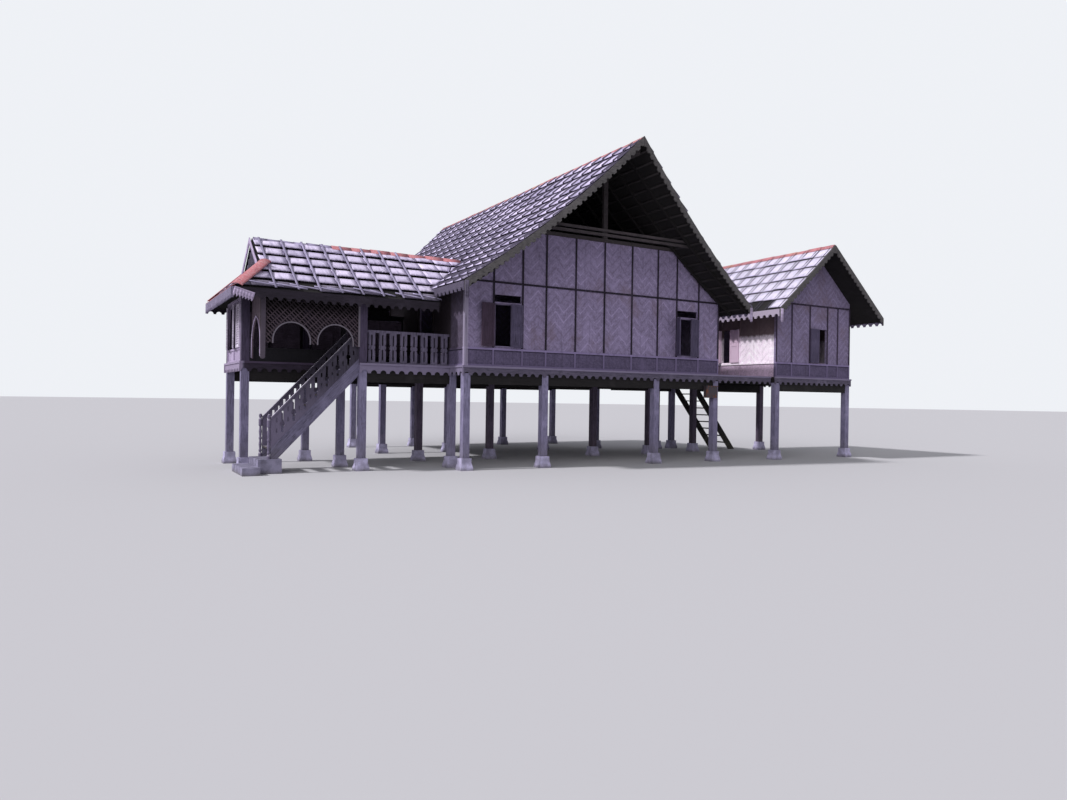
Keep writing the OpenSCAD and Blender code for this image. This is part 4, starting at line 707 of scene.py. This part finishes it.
def finishes():
    """The materials. Their zones pick out stretches of boards that run on, by the places where these stand."""
    if FINISHES:
        return FINISHES
    c = colours()
    main_planes = panel_planes((-POST, -POST), (MAIN_W + POST, MAIN_L + POST))
    kitchen_planes = panel_planes(*KITCHEN)
    far = 9                  # beyond the part that a zone is for, where it has no end of its own
    # Porch posts darker above the underside of the deck: painted shade under the porch roof
    porch_post_shade = [(2, DECK_LOW, far, 0.01, (0.32, 0.27, 0.31), "MULTIPLY")]
    FINISHES.update({
        # Posts between Y 1.0 and 3.6 are darker brown: painted shade of the house over its inner posts, together
        # with timber the sun hasn't bleached
        "post": timber("post timber", tinted(c.post, 1.08), "Z", 0.6, 0.35,
                       zones=[(1, 1.0, 3.6, 0.05, (0.50, 0.43, 0.42), "MULTIPLY")]),
        "porch_post": timber("porch post timber", c.post, "Z", 0.5, 0.4, zones=porch_post_shade),
        "stringer": timber("stringer timber", tinted(c.post, 0.74), "X", 0.4, 0.4, math.atan(2.05 / 1.96)),
        # Floor frames and beams near black: painted shade under the floors, over old dark timber
        "dark": timber("old dark timber", c.frame_wood_in_shade, "X", 0.4, 0.4),
        "deck": timber("deck timber", tinted(c.frame_wood_in_shade, 3.4), "Y", 0.5, 0.4, tops=0.45),
        "gable_wood": timber("gable timber", tinted(c.frame_wood_in_shade, 4.8), "X", 0.4, 0.4),
        # Roof timbers near black: painted shade under the roofs, over old dark timber
        "roof_wood": timber("roof timber", tinted(c.frame_wood_in_shade, 0.9), "Y", 0.3, 0.5),
        "panel": woven("woven panels", c.panel, c.panel_dark, c.batten, c.dado, main_planes,
                       porch_shade=(0.0, 0.76, 4.05)),
        "kitchen_panel": woven("kitchen woven panels", tinted(c.panel, 0.85), tinted(c.panel_dark, 0.9),
                               tinted(c.batten, 1.8), c.dado, kitchen_planes, 0.30, 0.20),
        # The kitchen's sides: paler woven panels, bleached and also in painted sunlight, with a painted eave shadow
        # over their top
        "kitchen_side": woven("bleached woven panels in painted sunlight", c.kitchen_side, tinted(c.kitchen_side, 0.6),
                              tinted(c.kitchen_side, 0.85), (0.54, 0.41, 0.54), kitchen_planes, 0.42, 0.24, 0.2,
                              0.9, shaded_top=3.56),
        # Trim: above the deck's underside the sill board is paler, painted light on it; the porch's end face takes
        # the porch boards' colour; in the stair's notch it is darker, painted shade; along the balustrade it is
        # paler
        "trim": timber("scalloped trim", c.trim, "X", 0.6, 0.5, tops=0.6,
                       zones=[(2, DECK_LOW, far, 0.002, 2.1, "MIX"),
                              (0, -far, -4.47, 0.001, tinted(c.porch, 0.75), "MIX"),
                              (0, -4.44, -2.35, 0.01, (0.30, 0.25, 0.29), "MULTIPLY"),
                              (0, -2.3, -0.09, 0.01, 1.9, "MIX")]),
        # Eaves boards: along the porch front, about ten times darker, painted shade; over the kitchen's left eaves
        # paler, painted sunlight
        "eaves": timber("eaves boards", tinted(c.trim, 1.8), "X", 0.6, 0.5,
                        zones=[(0, -4.88, -0.5, 0.01, (0.10, 0.085, 0.095), "MULTIPLY"),
                               (0, 8.5, 9.3, 0.01, (0.42, 0.36, 0.45), "MIX")]),
        "verge": timber("bargeboards", c.verge, "X", 0.5, 0.6),
        "porch": boarded("porch boards", c.porch, 0.15, 1),
        "arch": boarded("arch planks", c.arch, 0.12, 1),
        # Porch back wall, dado and gablet near black: painted shade inside the porch
        "porch_back": boarded("porch back boards in painted shade", tinted(c.panel, 0.04), 0.15, 0),
        "shaded_porch_boards": timber("porch boards in painted shade", tinted(c.railing, 0.17), "Z", 0.3, 0.4),
        "joinery": timber("window leaves", c.joinery, "Z", 0.4, 0.3,
                          zones=[(0, 0.2, 0.664, 0.001, (0.66, 0.49, 0.48), "MULTIPLY"),
                                 (0, 9.2, 9.556, 0.001, (0.74, 0.56, 0.70), "MIX")]),
        # Louvres away from the end wall are five times darker: painted shade in the porch
        "louvre": timber("pale louvres", c.louvre, "X", 0.5, 0.4,
                         zones=[(0, -4.42, far, 0.02, (0.2, 0.17, 0.2), "MULTIPLY")]),
        # Lattice: darker above 3.40 m, painted shade under the porch eaves; pale front edges; the back layer darker,
        # painted shade behind the front layer; darker left of X -4.2
        "lattice": timber("lattice timber", c.lattice, "X", 0.3, 0.3,
                          zones=[(2, 3.40, far, 0.12, (0.30, 0.28, 0.30), "MULTIPLY"),
                                 (1, -far, 0.6735, 0.0005, tinted(c.louvre, 0.31), "MIX"),
                                 (1, 0.694, far, 0.001, (0.35, 0.30, 0.34), "MULTIPLY"),
                                 (0, -far, -4.2, 0.001, (0.5, 0.45, 0.5), "MULTIPLY")]),
        # Railings: the dark colour is painted shade of the roof over their upper part; below about 1.55 m they are
        # painted paler, painted light
        "railing": timber("railing boards", c.railing, "Z", 0.4, 0.4, tops=0.9,
                          zones=[(2, -far, 1.55, 0.75, 3.4, "MIX")]),
        "balusters": timber("balusters", tinted(c.railing, 2.7), "Z", 0.5, 0.4, tops=0.9),
        "rail_board": timber("loose boards", c.trim, "board", 0.6, 0.4),
        "pale_board": timber("pale boards", tinted(c.porch, 1.15), "board", 0.6, 0.4),
        "batten": timber("roof battens", tinted(c.frame_wood_in_shade, 2.6), "board", 0.4, 0.4),
        "strip": timber("roof strips", tinted(c.tile, 0.62), "board", 0.5, 0.5),
        "dark_strip": timber("dark roof strips", tinted(c.tile, 0.16), "board", 0.5, 0.5),
        "frame": timber("window frames", tinted(c.panel, 1.15), "board", 0.4, 0.4),
        "tile": tiled("roof tiles", c.tile, c.tile_dark, True),
        "sheet": tiled("porch sheets", tinted(c.tile, 1.06), c.tile_dark, dark_below=PORCH_EAVE + 0.20),
        "white_sheet": tiled("kitchen sheets", c.sheet, tinted(c.tile, 0.6)),
        "cap": fired("ridge caps", c.cap, c.cap_warm, c.tile_dark),
        "grey_cap": tiled("grey ridge", tinted(c.tile, 0.5), c.tile_dark),
        "stone": cast("concrete", c.stone),
        # The stair's base darker than the feet: painted shade
        "base": cast("concrete in painted shade", tinted(c.stone, 0.52)),
        "box": painted_metal("meter box", c.metal),
    })
    return FINISHES


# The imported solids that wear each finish
WEARERS = {
    "stone": "pedestals", "base": "stair_base", "post": "main_posts kitchen_posts", "porch_post": "porch_posts",
    "stringer": "stair_stringers", "panel": "front_wall back_wall left_wall right_wall",
    "dark": "main_floor_frame porch_floor_frame kitchen_floor_frame rear_stair porch_beams",
    "deck": "main_floor porch_floor kitchen_floor link_deck stair_treads",
    "roof_wood": "main_roof_left main_roof_right kitchen_roof porch_roof_front porch_roof_back porch_roof_end",
    "gable_wood": "gable_frames", "joinery": "window_shutters", "verge": "bargeboards", "eaves": "eave_boards",
    "trim": "floor_trims", "porch": "porch_end_wall", "porch_back": "porch_back_wall",
    "shaded_porch_boards": "porch_dado porch_gablet", "louvre": "porch_shutters", "lattice": "arch_lattice",
    "arch": "entrance_arch", "balusters": "porch_balustrade", "railing": "stair_railings",
    "kitchen_panel": "kitchen_gable_walls", "kitchen_side": "kitchen_side_walls", "box": "meter_box",
    "cap": "ridge_caps",
}


# Operators: one for each piece or group of like pieces, and one for the stage

class STILT_OT_frame_finishes(bpy.types.Operator):
    """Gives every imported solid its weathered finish"""
    bl_idname = "stilt_house.frame_finishes"
    bl_label = "Finish the Solids"

    def execute(self, context):
        made = finishes()
        worn = {node: made[finish] for finish, nodes in WEARERS.items() for node in nodes.split()}
        for name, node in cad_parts.items():
            node.data.materials.clear()
            node.data.materials.append(worn[name])
        return {"FINISHED"}


class STILT_OT_main_tiles(bpy.types.Operator):
    """Lays the tiles of both slopes of the main roof and the battens under them"""
    bl_idname = "stilt_house.main_tiles"
    bl_label = "Main Roof Tiles"

    def execute(self, context):
        f = finishes()
        for right, end in enumerate(("left", "right")):
            slope = main_slope(right)

            def verge(s):
                """How far the gable overhang reaches at s."""
                return VERGE_LOW + VERGE_FLARE * slope.inset(s)

            lay_tiles(f"main_tiles_{end}", slope, lambda s: -verge(s), lambda s: MAIN_L + verge(s), f["tile"],
                      seed=11 + right)
            s = np.arange(0.12, slope.ss[-1] - 0.1, sizes().batten_gap)
            n = slope.normal(s)
            start = slope.at(s, 0.02 - verge(s)) - n * (ROOF_DEEP * n[:, 2:3] + BATTEN_THICK)
            run = MAIN_L + 2 * verge(s) - 0.04
            slab_piece(f"roof_battens_{end}", f["batten"], "dark_timber", start, slope.along * run[:, None],
                       slope.up(s) * 0.05, n, thick=BATTEN_THICK, seed=31 + right, tone=(0, 0.8),
                       lengthwise=True, nu=12)
        return {"FINISHED"}


class STILT_OT_porch_sheets(bpy.types.Operator):
    """Lays the sheets, joint strips and loose eaves battens of the porch roof"""
    bl_idname = "stilt_house.porch_sheets"
    bl_label = "Porch Roof Sheets"

    def execute(self, context):
        f, z = finishes(), sizes()
        for back, end in enumerate(("front", "back")):
            slope = porch_slope(back)

            def hip(s):
                """Where the hip, and over it the gablet, ends the slope on the left."""
                return np.minimum(HIP_X + slope.inset(s) * PORCH_PITCH, GABLET_X) + 0.01

            def valley(s):
                """Where the main roof ends the slope on the right."""
                meets = np.interp(PORCH_EAVE + slope.inset(s) * PORCH_PITCH, MAIN_Z, MAIN_U)
                return np.maximum(meets - 0.03, -0.06) - EAVE_OUT

            lay_sheets(f"porch_sheets_{end}", slope, hip, valley, z.porch_course, f["sheet"], seed=21 + back,
                       rise=0.042, ragged=0.35, tone=(0, 0.6))
            lay_strips(f"porch_strips_{end}", slope, np.arange(GABLET_X + 0.16, -0.5, z.sheet_width), 0.02,
                       z.strip_width, 0.022, f["strip"], "roof_tiles", seed=41 + back, lean=0.02, off=0.045)
        slope = hip_slope()

        def half(s):
            return PORCH_SPAN - slope.inset(s) / PORCH_PITCH

        lay_sheets("porch_sheets_end", slope, lambda s: PORCH_MID - half(s), lambda s: PORCH_MID + half(s),
                   z.porch_course, f["sheet"], seed=27, rise=0.014, foot=0.05)
        self.loose_battens(f["strip"])
        return {"FINISHED"}

    def loose_battens(self, finish):
        """Battens that lie slanting over the front eaves, where sheets are missing."""
        slope = porch_slope()
        rng = np.random.default_rng(8)
        x = np.arange(-4.5, -1.1, 0.42) + rng.normal(0, 0.08, 9)
        start = slope.at(rng.uniform(0.13, 0.24, len(x)), x) + (0, 0, 0.05)
        reach = xyz(rng.uniform(0.55, 0.85, len(x)), -0.11 + rng.normal(0, 0.03, len(x)), -0.085)
        slab_piece("porch_loose_battens", finish, "roof_tiles", start, reach, (0, 0.032, 0.024),
                   slope.normal(np.array([0.1])), thick=0.018, seed=9, tone=(0, 0.4), lengthwise=True, nu=4)


class STILT_OT_kitchen_sheets(bpy.types.Operator):
    """Lays the whitish sheets of the kitchen roof with paired strips over their joints"""
    bl_idname = "stilt_house.kitchen_sheets"
    bl_label = "Kitchen Roof Sheets"

    def execute(self, context):
        f, z = finishes(), sizes()
        y0, y1 = KITCHEN_ROOF[0][1], KITCHEN_ROOF[1][1]
        places = np.arange(np.ceil(y0 / z.sheet_width), np.floor(y1 / z.sheet_width) + 1) * z.sheet_width
        places = np.concatenate([places - 0.035, places + 0.075])
        places = places[(places < y1 - 0.05) & (places > y0 + 0.03)]
        for right, end in enumerate(("left", "right")):
            slope = kitchen_slope(right)
            lay_sheets(f"kitchen_sheets_{end}", slope, lambda s: y0, lambda s: y1, z.kitchen_course,
                       f["white_sheet"], seed=51 + right, rise=0.018, joint=0.014, ragged=0.35, tone=(0, 0.22))
            lay_strips(f"kitchen_strips_{end}", slope, places, 0.01, 0.015, 0.010, f["dark_strip"], "dark_timber",
                       seed=61 + right, lean=0.008, off=0.026)
        return {"FINISHED"}


def cap_run(start, end, wing, width, piece_length, step, seed):
    """Ridge caps laid end over end. wing points down one slope, and its mirror image down the other. A cap spans
    the line between its two wing tips, tip = ridge + width * wing, and is bent up towards the ridge. Returns its
    slab arrays and its bend at the fold, the far end of each cap lying lower by step so that it tucks under the
    next."""
    start, end, side_a = (np.array(v, float) for v in (start, end, unit(np.array(wing))))
    side_b = side_a * (-1, -1, 1)
    total = np.linalg.norm(end - start)
    count = max(1, int(round(total / piece_length)))
    along = (end - start) / total
    out = -(side_a + side_b)
    rise = width * np.linalg.norm(out) / 2
    out = unit(out)
    rng = np.random.default_rng(seed)
    begin = start + (np.arange(count) * total / count)[:, None] * along
    tip = begin + width * side_b + out * (step + rng.normal(0, 0.003, (count, 1)))
    across = width * (side_a - side_b) + rng.normal(0, 0.004, (count, 3))
    far = along * (total / count * 1.05) - out * step
    return tip, across, np.tile(far, (count, 1)), np.tile(out, (count, 1)), np.full(count, rise)


def fold(a):
    """The share of a cap's rise at a place a across it: one less a rounded absolute value, 0 at both tips."""
    rounding = 0.015
    tip = np.sqrt(1 + rounding)
    return (tip - np.sqrt((2 * a - 1) ** 2 + rounding)) / (tip - np.sqrt(rounding))


class STILT_OT_caps(bpy.types.Operator):
    """Lays the faded caps over the ridges and hips"""
    bl_idname = "stilt_house.caps"
    bl_label = "Ridge Caps"

    def lay(self, name, finish, slot, runs, thick, seed):
        origin, across, far, out, rise = (np.concatenate(parts) for parts in zip(*runs))
        a = np.repeat(np.linspace(0, 1, 9), 2)
        return slab_piece(name, finish, slot, origin, across, far, out, thick, seed, nu=8,
                          bend=rise[:, None] * fold(a))

    def hips(self, finish):
        """Two long bowed caps from the roof's corners over the hips to the front and back slopes, and the faded
        edge strip over the end eaves. A cap's bow is 0.035 * (1 - (2a - 1)^2) over its width."""
        side, width = np.array([-1, 1]), 0.24
        low = xyz(HIP_X + 0.085, PORCH_MID + side * (PORCH_SPAN - 0.05), PORCH_EAVE + 0.050)
        axis = xyz(GABLET_X + 0.11, PORCH_MID + side * (GABLET_HALF + 0.11), HIP_FOOT + 0.035) - low
        across = unit(np.cross(axis, xyz(-0.35, side * PORCH_PITCH, 1.0)))
        out = unit(np.cross(across, axis))
        out *= np.sign(out[:, 2:3])
        a = np.repeat(np.linspace(0, 1, 9), 5)
        slab_piece("hip_caps", finish, "ridge_tiles", low - across * width / 2, across * width, axis, out,
                   thick=0.016, seed=17, tone=(0, 0.25), nu=8, nv=4, bend=0.035 * (1 - (2 * a - 1) ** 2))
        slab_piece("end_edge", finish, "ridge_tiles", (HIP_X - 0.022, PORCH_MID - PORCH_SPAN, PORCH_EAVE + 0.014),
                   (0.10, 0, 0.055), (0, 2 * PORCH_SPAN, 0), (-0.48, 0, 0.88), thick=0.012, seed=18, nu=2, nv=12)

    def execute(self, context):
        f, w, lifted = finishes(), sizes().cap_width, 0.022
        grade = (MAIN_Z[-1] - MAIN_Z[-2]) / (MAIN_U[-1] - MAIN_U[-2])
        top = CAD_BOX[1][2] - 0.030
        porch, kitchen = PORCH_RIDGE + lifted, KITCHEN_RIDGE + lifted
        runs = [cap_run((MAIN_W / 2, 0.01 - VERGE_TOP, top), (MAIN_W / 2, MAIN_L + VERGE_TOP - 0.02, top),
                        (1, 0, -grade * 0.8), w, 0.42, step=0.003, seed=3),
                cap_run((-2.46, PORCH_MID, porch), (0.80, PORCH_MID, porch), (0, 1, -PORCH_PITCH), w + 0.03, 0.5,
                        step=0.004, seed=4),
                cap_run((KITCHEN_MID, KITCHEN_ROOF[0][1] + 0.01, kitchen),
                        (KITCHEN_MID, KITCHEN_ROOF[1][1] - 0.03, kitchen), (1, 0, -KITCHEN_PITCH), w, 0.45,
                        step=0.004, seed=6)]
        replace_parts(self.lay("red_caps", f["cap"], "ridge_tiles", runs, 0.014, 7), "ridge_caps")
        grey = cap_run((GABLET_X + 0.03, PORCH_MID, PORCH_RIDGE + 0.01), (-2.44, PORCH_MID, PORCH_RIDGE + 0.01),
                       (0, 1, -PORCH_PITCH), 0.12, 0.3, step=0.012, seed=14)
        self.lay("grey_ridge", f["grey_cap"], "roof_tiles", [grey], 0.012, 15)
        self.hips(f["cap"])
        return {"FINISHED"}


class STILT_OT_gablet_boards(bpy.types.Operator):
    """Puts pale verge boards and slats on the small gable of the porch"""
    bl_idname = "stilt_house.gablet_boards"
    bl_label = "Gablet Boards"

    def execute(self, context):
        f, side, deep = finishes(), np.array([-1, 1]), 0.13
        low = xyz(GABLET_X - 0.035, PORCH_MID + side * GABLET_HALF, HIP_FOOT + 0.01)
        high = np.array([GABLET_X - 0.035, PORCH_MID, PORCH_RIDGE + 0.015])
        slab_piece("gablet_verges", f["pale_board"], "pale_trim", low - (0, 0, deep), high - low, (0, 0, deep),
                   (-1, 0, 0), thick=0.022, seed=71, tone=(0, 0.3), lengthwise=True, nu=8)
        y = np.linspace(PORCH_MID - GABLET_HALF * 0.72, PORCH_MID + GABLET_HALF * 0.72, 9)
        h = (1 - np.abs(y - PORCH_MID) / GABLET_HALF) * (PORCH_RIDGE - HIP_FOOT) - 0.16
        slab_piece("gablet_slats", f["rail_board"], "pale_trim", xyz(GABLET_X + 0.018, y - 0.045, HIP_FOOT - 0.01),
                   (0, 0.09, 0), xyz(0, 0, h), (-1, 0, 0), thick=BOARD_THICK, seed=72, tone=(0.3, 0.9), nv=4)
        return {"FINISHED"}


class STILT_OT_corner_boards(bpy.types.Operator):
    """Hangs the toothed boards at the corners of the porch, main and kitchen eaves"""
    bl_idname = "stilt_house.corner_boards"
    bl_label = "Toothed Corner Boards"

    def execute(self, context):
        f = finishes()
        sag = math.radians(-15)
        teeth_board("corner_front", (HIP_X + 0.035, PORCH_MID - PORCH_SPAN - 0.032, PORCH_EAVE + 0.012),
                    (math.cos(sag), 0, math.sin(sag)), (math.sin(sag), 0, -math.cos(sag)), 0.40, 0.20, 0.058,
                    f["pale_board"], seed=1, wave=0.36)
        for name, x, y, z, board in (
                ("main_end_left", -EAVE_OUT, -VERGE_LOW, 4.12, "rail_board"),
                ("main_end_right", MAIN_W + EAVE_OUT - 0.09, -VERGE_LOW, 4.12, "pale_board"),
                ("kitchen_end_left", *KITCHEN_ROOF[0][:2], KITCHEN_EAVE + 0.02, "pale_board")):
            teeth_board(name, (x, y - 0.033, z), (1, 0, 0), (0, 0, -1), 0.09, 0.38, 0.045, f[board], seed=3,
                        wave=0.15)
        return {"FINISHED"}


class STILT_OT_window_frames(bpy.types.Operator):
    """Frames the windows and edges the pointed arch"""
    bl_idname = "stilt_house.window_frames"
    bl_label = "Window Frames"

    def execute(self, context):
        f = finishes()
        bar, near, far, top = 0.022, POST - 0.004, POST - 0.06, SILL + WINDOW_H
        boxes = []
        for x in (WINDOW_IN, MAIN_W - WINDOW_IN):
            left, right = x - WINDOW_W / 2, x + WINDOW_W / 2
            for y0, y1 in ((-near, -far), (MAIN_L + far, MAIN_L + near)):
                boxes += [(left, y0, SILL, left + bar, y1, top), (right - bar, y0, SILL, right, y1, top),
                          (left, y0, top - bar, right, y1, top), (left, y0, SILL, right, y1, SILL + bar)]
        low, high = np.split(np.array(boxes), 2, axis=1)
        size = high - low
        slab_piece("window_frames", f["frame"], "joinery", low, size * (1, 0, 0), size * (0, 1, 0), (0, 0, 1),
                   thick=size[:, 2], seed=81)
        self.arch_edge(f["pale_board"])
        return {"FINISHED"}

    def arch_edge(self, finish):
        """The pale bead around the pointed arch: legs, then two arcs of radius r whose centres lie r - half from
        the arch's middle on the far side, swept as a small rectangle whose side points out of the opening."""
        low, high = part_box("entrance_arch")
        middle, w = (low.y + high.y) / 2, high.y - low.y
        half, r, spring = w / 2 - 0.038, w * 0.58, FLOOR + 0.36
        t = np.linspace(0, math.acos((r - half) / r), 15)
        arc = xyz(half - r + r * np.cos(t), spring + r * np.sin(t))
        leg = xyz(half, np.linspace(low.z + 0.01, spring - 0.02, 4))
        line = np.concatenate([leg, arc])
        side = np.concatenate([xyz(1, np.zeros(4)), xyz(np.cos(t), np.sin(t))])
        crown = len(line) - 1
        line, side = (np.concatenate([v, (v * (-1, 1))[-2::-1]]) for v in (line, side))
        side[crown] = (0, 1)
        points, faces = swept(xyz(low.x, middle + line[:, 0], line[:, 1]),
                              [(0, -0.002), (0.026, -0.002), (0.026, 0.014), (0, 0.014)],
                              xyz(0, side[:, 0], side[:, 1]), (-1, 0, 0))
        grain = xyz(points[:, 2], points[:, 1], 0)
        fit(put_mesh("arch_edge", points, faces, TRIM_TINT, grain), finish)


# The camera, from the photograph's own lines: its focal length in pixels of a frame FRAME_WIDTH wide, its place,
# and its yaw, pitch and roll in degrees
FRAME_WIDTH, FOCAL, SENSOR = 1067, 775.9, 36.0
CAMERA_AT, CAMERA_TURN = (-7.3958, -15.8526, 1.635), (30.04, -0.115, 0.834)

# Lamps: name, strength, angle of the sun's disc in degrees, and the way it shines
LAMPS = (("key", 2.65, 4, (0.72, -0.04, -0.66)), ("fill", 0.80, 40, (0.70, 0.58, -0.42)))


class STILT_OT_stage(bpy.types.Operator):
    """Sets the floor, the backdrop, the lamps and the camera"""
    bl_idname = "stilt_house.stage"
    bl_label = "Stage and Camera"

    def execute(self, context):
        scene = context.scene
        scene.view_settings.view_transform = "Standard"
        self.floor()
        w = Finish("soft room", kept=bpy.data.worlds)
        scene.world = w.material
        rays = w.node("ShaderNodeLightPath").outputs
        seen = Value(w, rays["Is Camera Ray"]).larger(rays["Is Glossy Ray"]).larger(rays["Is Transmission Ray"])
        room = w.node("ShaderNodeBackground", inputs={"Color": (0.93, 0.93, 1.0), "Strength": 0.42})
        back = w.node("ShaderNodeBackground", inputs={"Color": (0.86, 0.88, 0.92), "Strength": 1.0})
        both = w.node("ShaderNodeMixShader", inputs={0: seen, 1: room.outputs[0], 2: back.outputs[0]})
        w.node("ShaderNodeOutputWorld", inputs={"Surface": both.outputs[0]})
        for name, energy, angle, toward in LAMPS:
            lamp = bpy.data.lights.new(name, "SUN")
            lamp.energy, lamp.angle, lamp.color = energy, math.radians(angle), (1.0, 0.975, 1.0)
            holder = bpy.data.objects.new(name, lamp)
            scene.collection.objects.link(holder)
            holder.rotation_euler = Vector(toward).to_track_quat("-Z", "Y").to_euler()
        self.camera(scene)
        return {"FINISHED"}

    def floor(self):
        """A pale disc under the house."""
        a = np.linspace(0, 2 * np.pi, 65)[:-1]
        points = np.concatenate([[[0, 0, 0]], xyz(np.cos(a), np.sin(a), 0) * 260]) + (3.5, 3.0, -0.002)
        rim = np.arange(1, 65)
        floor = put_mesh("floor", points, [np.stack([0 * rim, rim, np.roll(rim, -1)], -1)])
        f = Finish("pale floor")
        ground = f.node("ShaderNodeBsdfDiffuse", inputs={"Color": (0.57, 0.57, 0.59)})
        f.node("ShaderNodeOutputMaterial", inputs={"Surface": ground.outputs[0]})
        floor.data.materials.append(f.material)

    def camera(self, scene):
        """The camera at the photograph's place: ahead from yaw and pitch, then right and up turned by the roll."""
        camera = bpy.data.objects.new("photo view", bpy.data.cameras.new("photo view"))
        scene.collection.objects.link(camera)
        camera.data.sensor_fit = "HORIZONTAL"
        camera.data.sensor_width = SENSOR
        camera.data.lens = FOCAL / FRAME_WIDTH * SENSOR
        camera.data.clip_end = 900
        yaw, pitch, roll = (math.radians(v) for v in CAMERA_TURN)
        ahead = Vector((math.sin(yaw) * math.cos(pitch), math.cos(yaw) * math.cos(pitch), math.sin(pitch)))
        right = Vector((math.cos(yaw), -math.sin(yaw), 0))
        up = right.cross(ahead)
        right, up = right * math.cos(roll) + up * math.sin(roll), up * math.cos(roll) - right * math.sin(roll)
        turned = Matrix((right, up, -ahead)).transposed().to_4x4()
        camera.matrix_world = Matrix.Translation(CAMERA_AT) @ turned
        scene.camera = camera


STEPS = (STILT_OT_frame_finishes, STILT_OT_main_tiles, STILT_OT_porch_sheets, STILT_OT_kitchen_sheets, STILT_OT_caps,
         STILT_OT_gablet_boards, STILT_OT_corner_boards, STILT_OT_window_frames, STILT_OT_stage)


class STILT_PT_panel(bpy.types.Panel):
    """Lists the house's pieces"""
    bl_idname = "STILT_PT_panel"
    bl_label = "Stilt House"
    bl_space_type = "VIEW_3D"
    bl_region_type = "UI"
    bl_category = "Stilt House"

    def draw(self, context):
        for step in STEPS:
            self.layout.operator(step.bl_idname)
        for group in (context.scene.stilt_house_sizes, context.scene.stilt_house_colours):
            box = self.layout.box()
            for name in group.__annotations__:
                box.prop(group, name)


CLASSES = (StiltHouseSizes, StiltHouseColours, *STEPS, STILT_PT_panel)


def register():
    for cls in CLASSES:
        bpy.utils.register_class(cls)
    bpy.types.Scene.stilt_house_sizes = bpy.props.PointerProperty(type=StiltHouseSizes)
    bpy.types.Scene.stilt_house_colours = bpy.props.PointerProperty(type=StiltHouseColours)


def unregister():
    del bpy.types.Scene.stilt_house_colours
    del bpy.types.Scene.stilt_house_sizes
    for cls in reversed(CLASSES):
        bpy.utils.unregister_class(cls)


def main():
    register()
    for step in STEPS:
        group, name = step.bl_idname.split(".")
        if getattr(getattr(bpy.ops, group), name)() != {"FINISHED"}:
            raise RuntimeError(f"{step.bl_label} didn't finish")


if __name__ == "__main__":
    main()
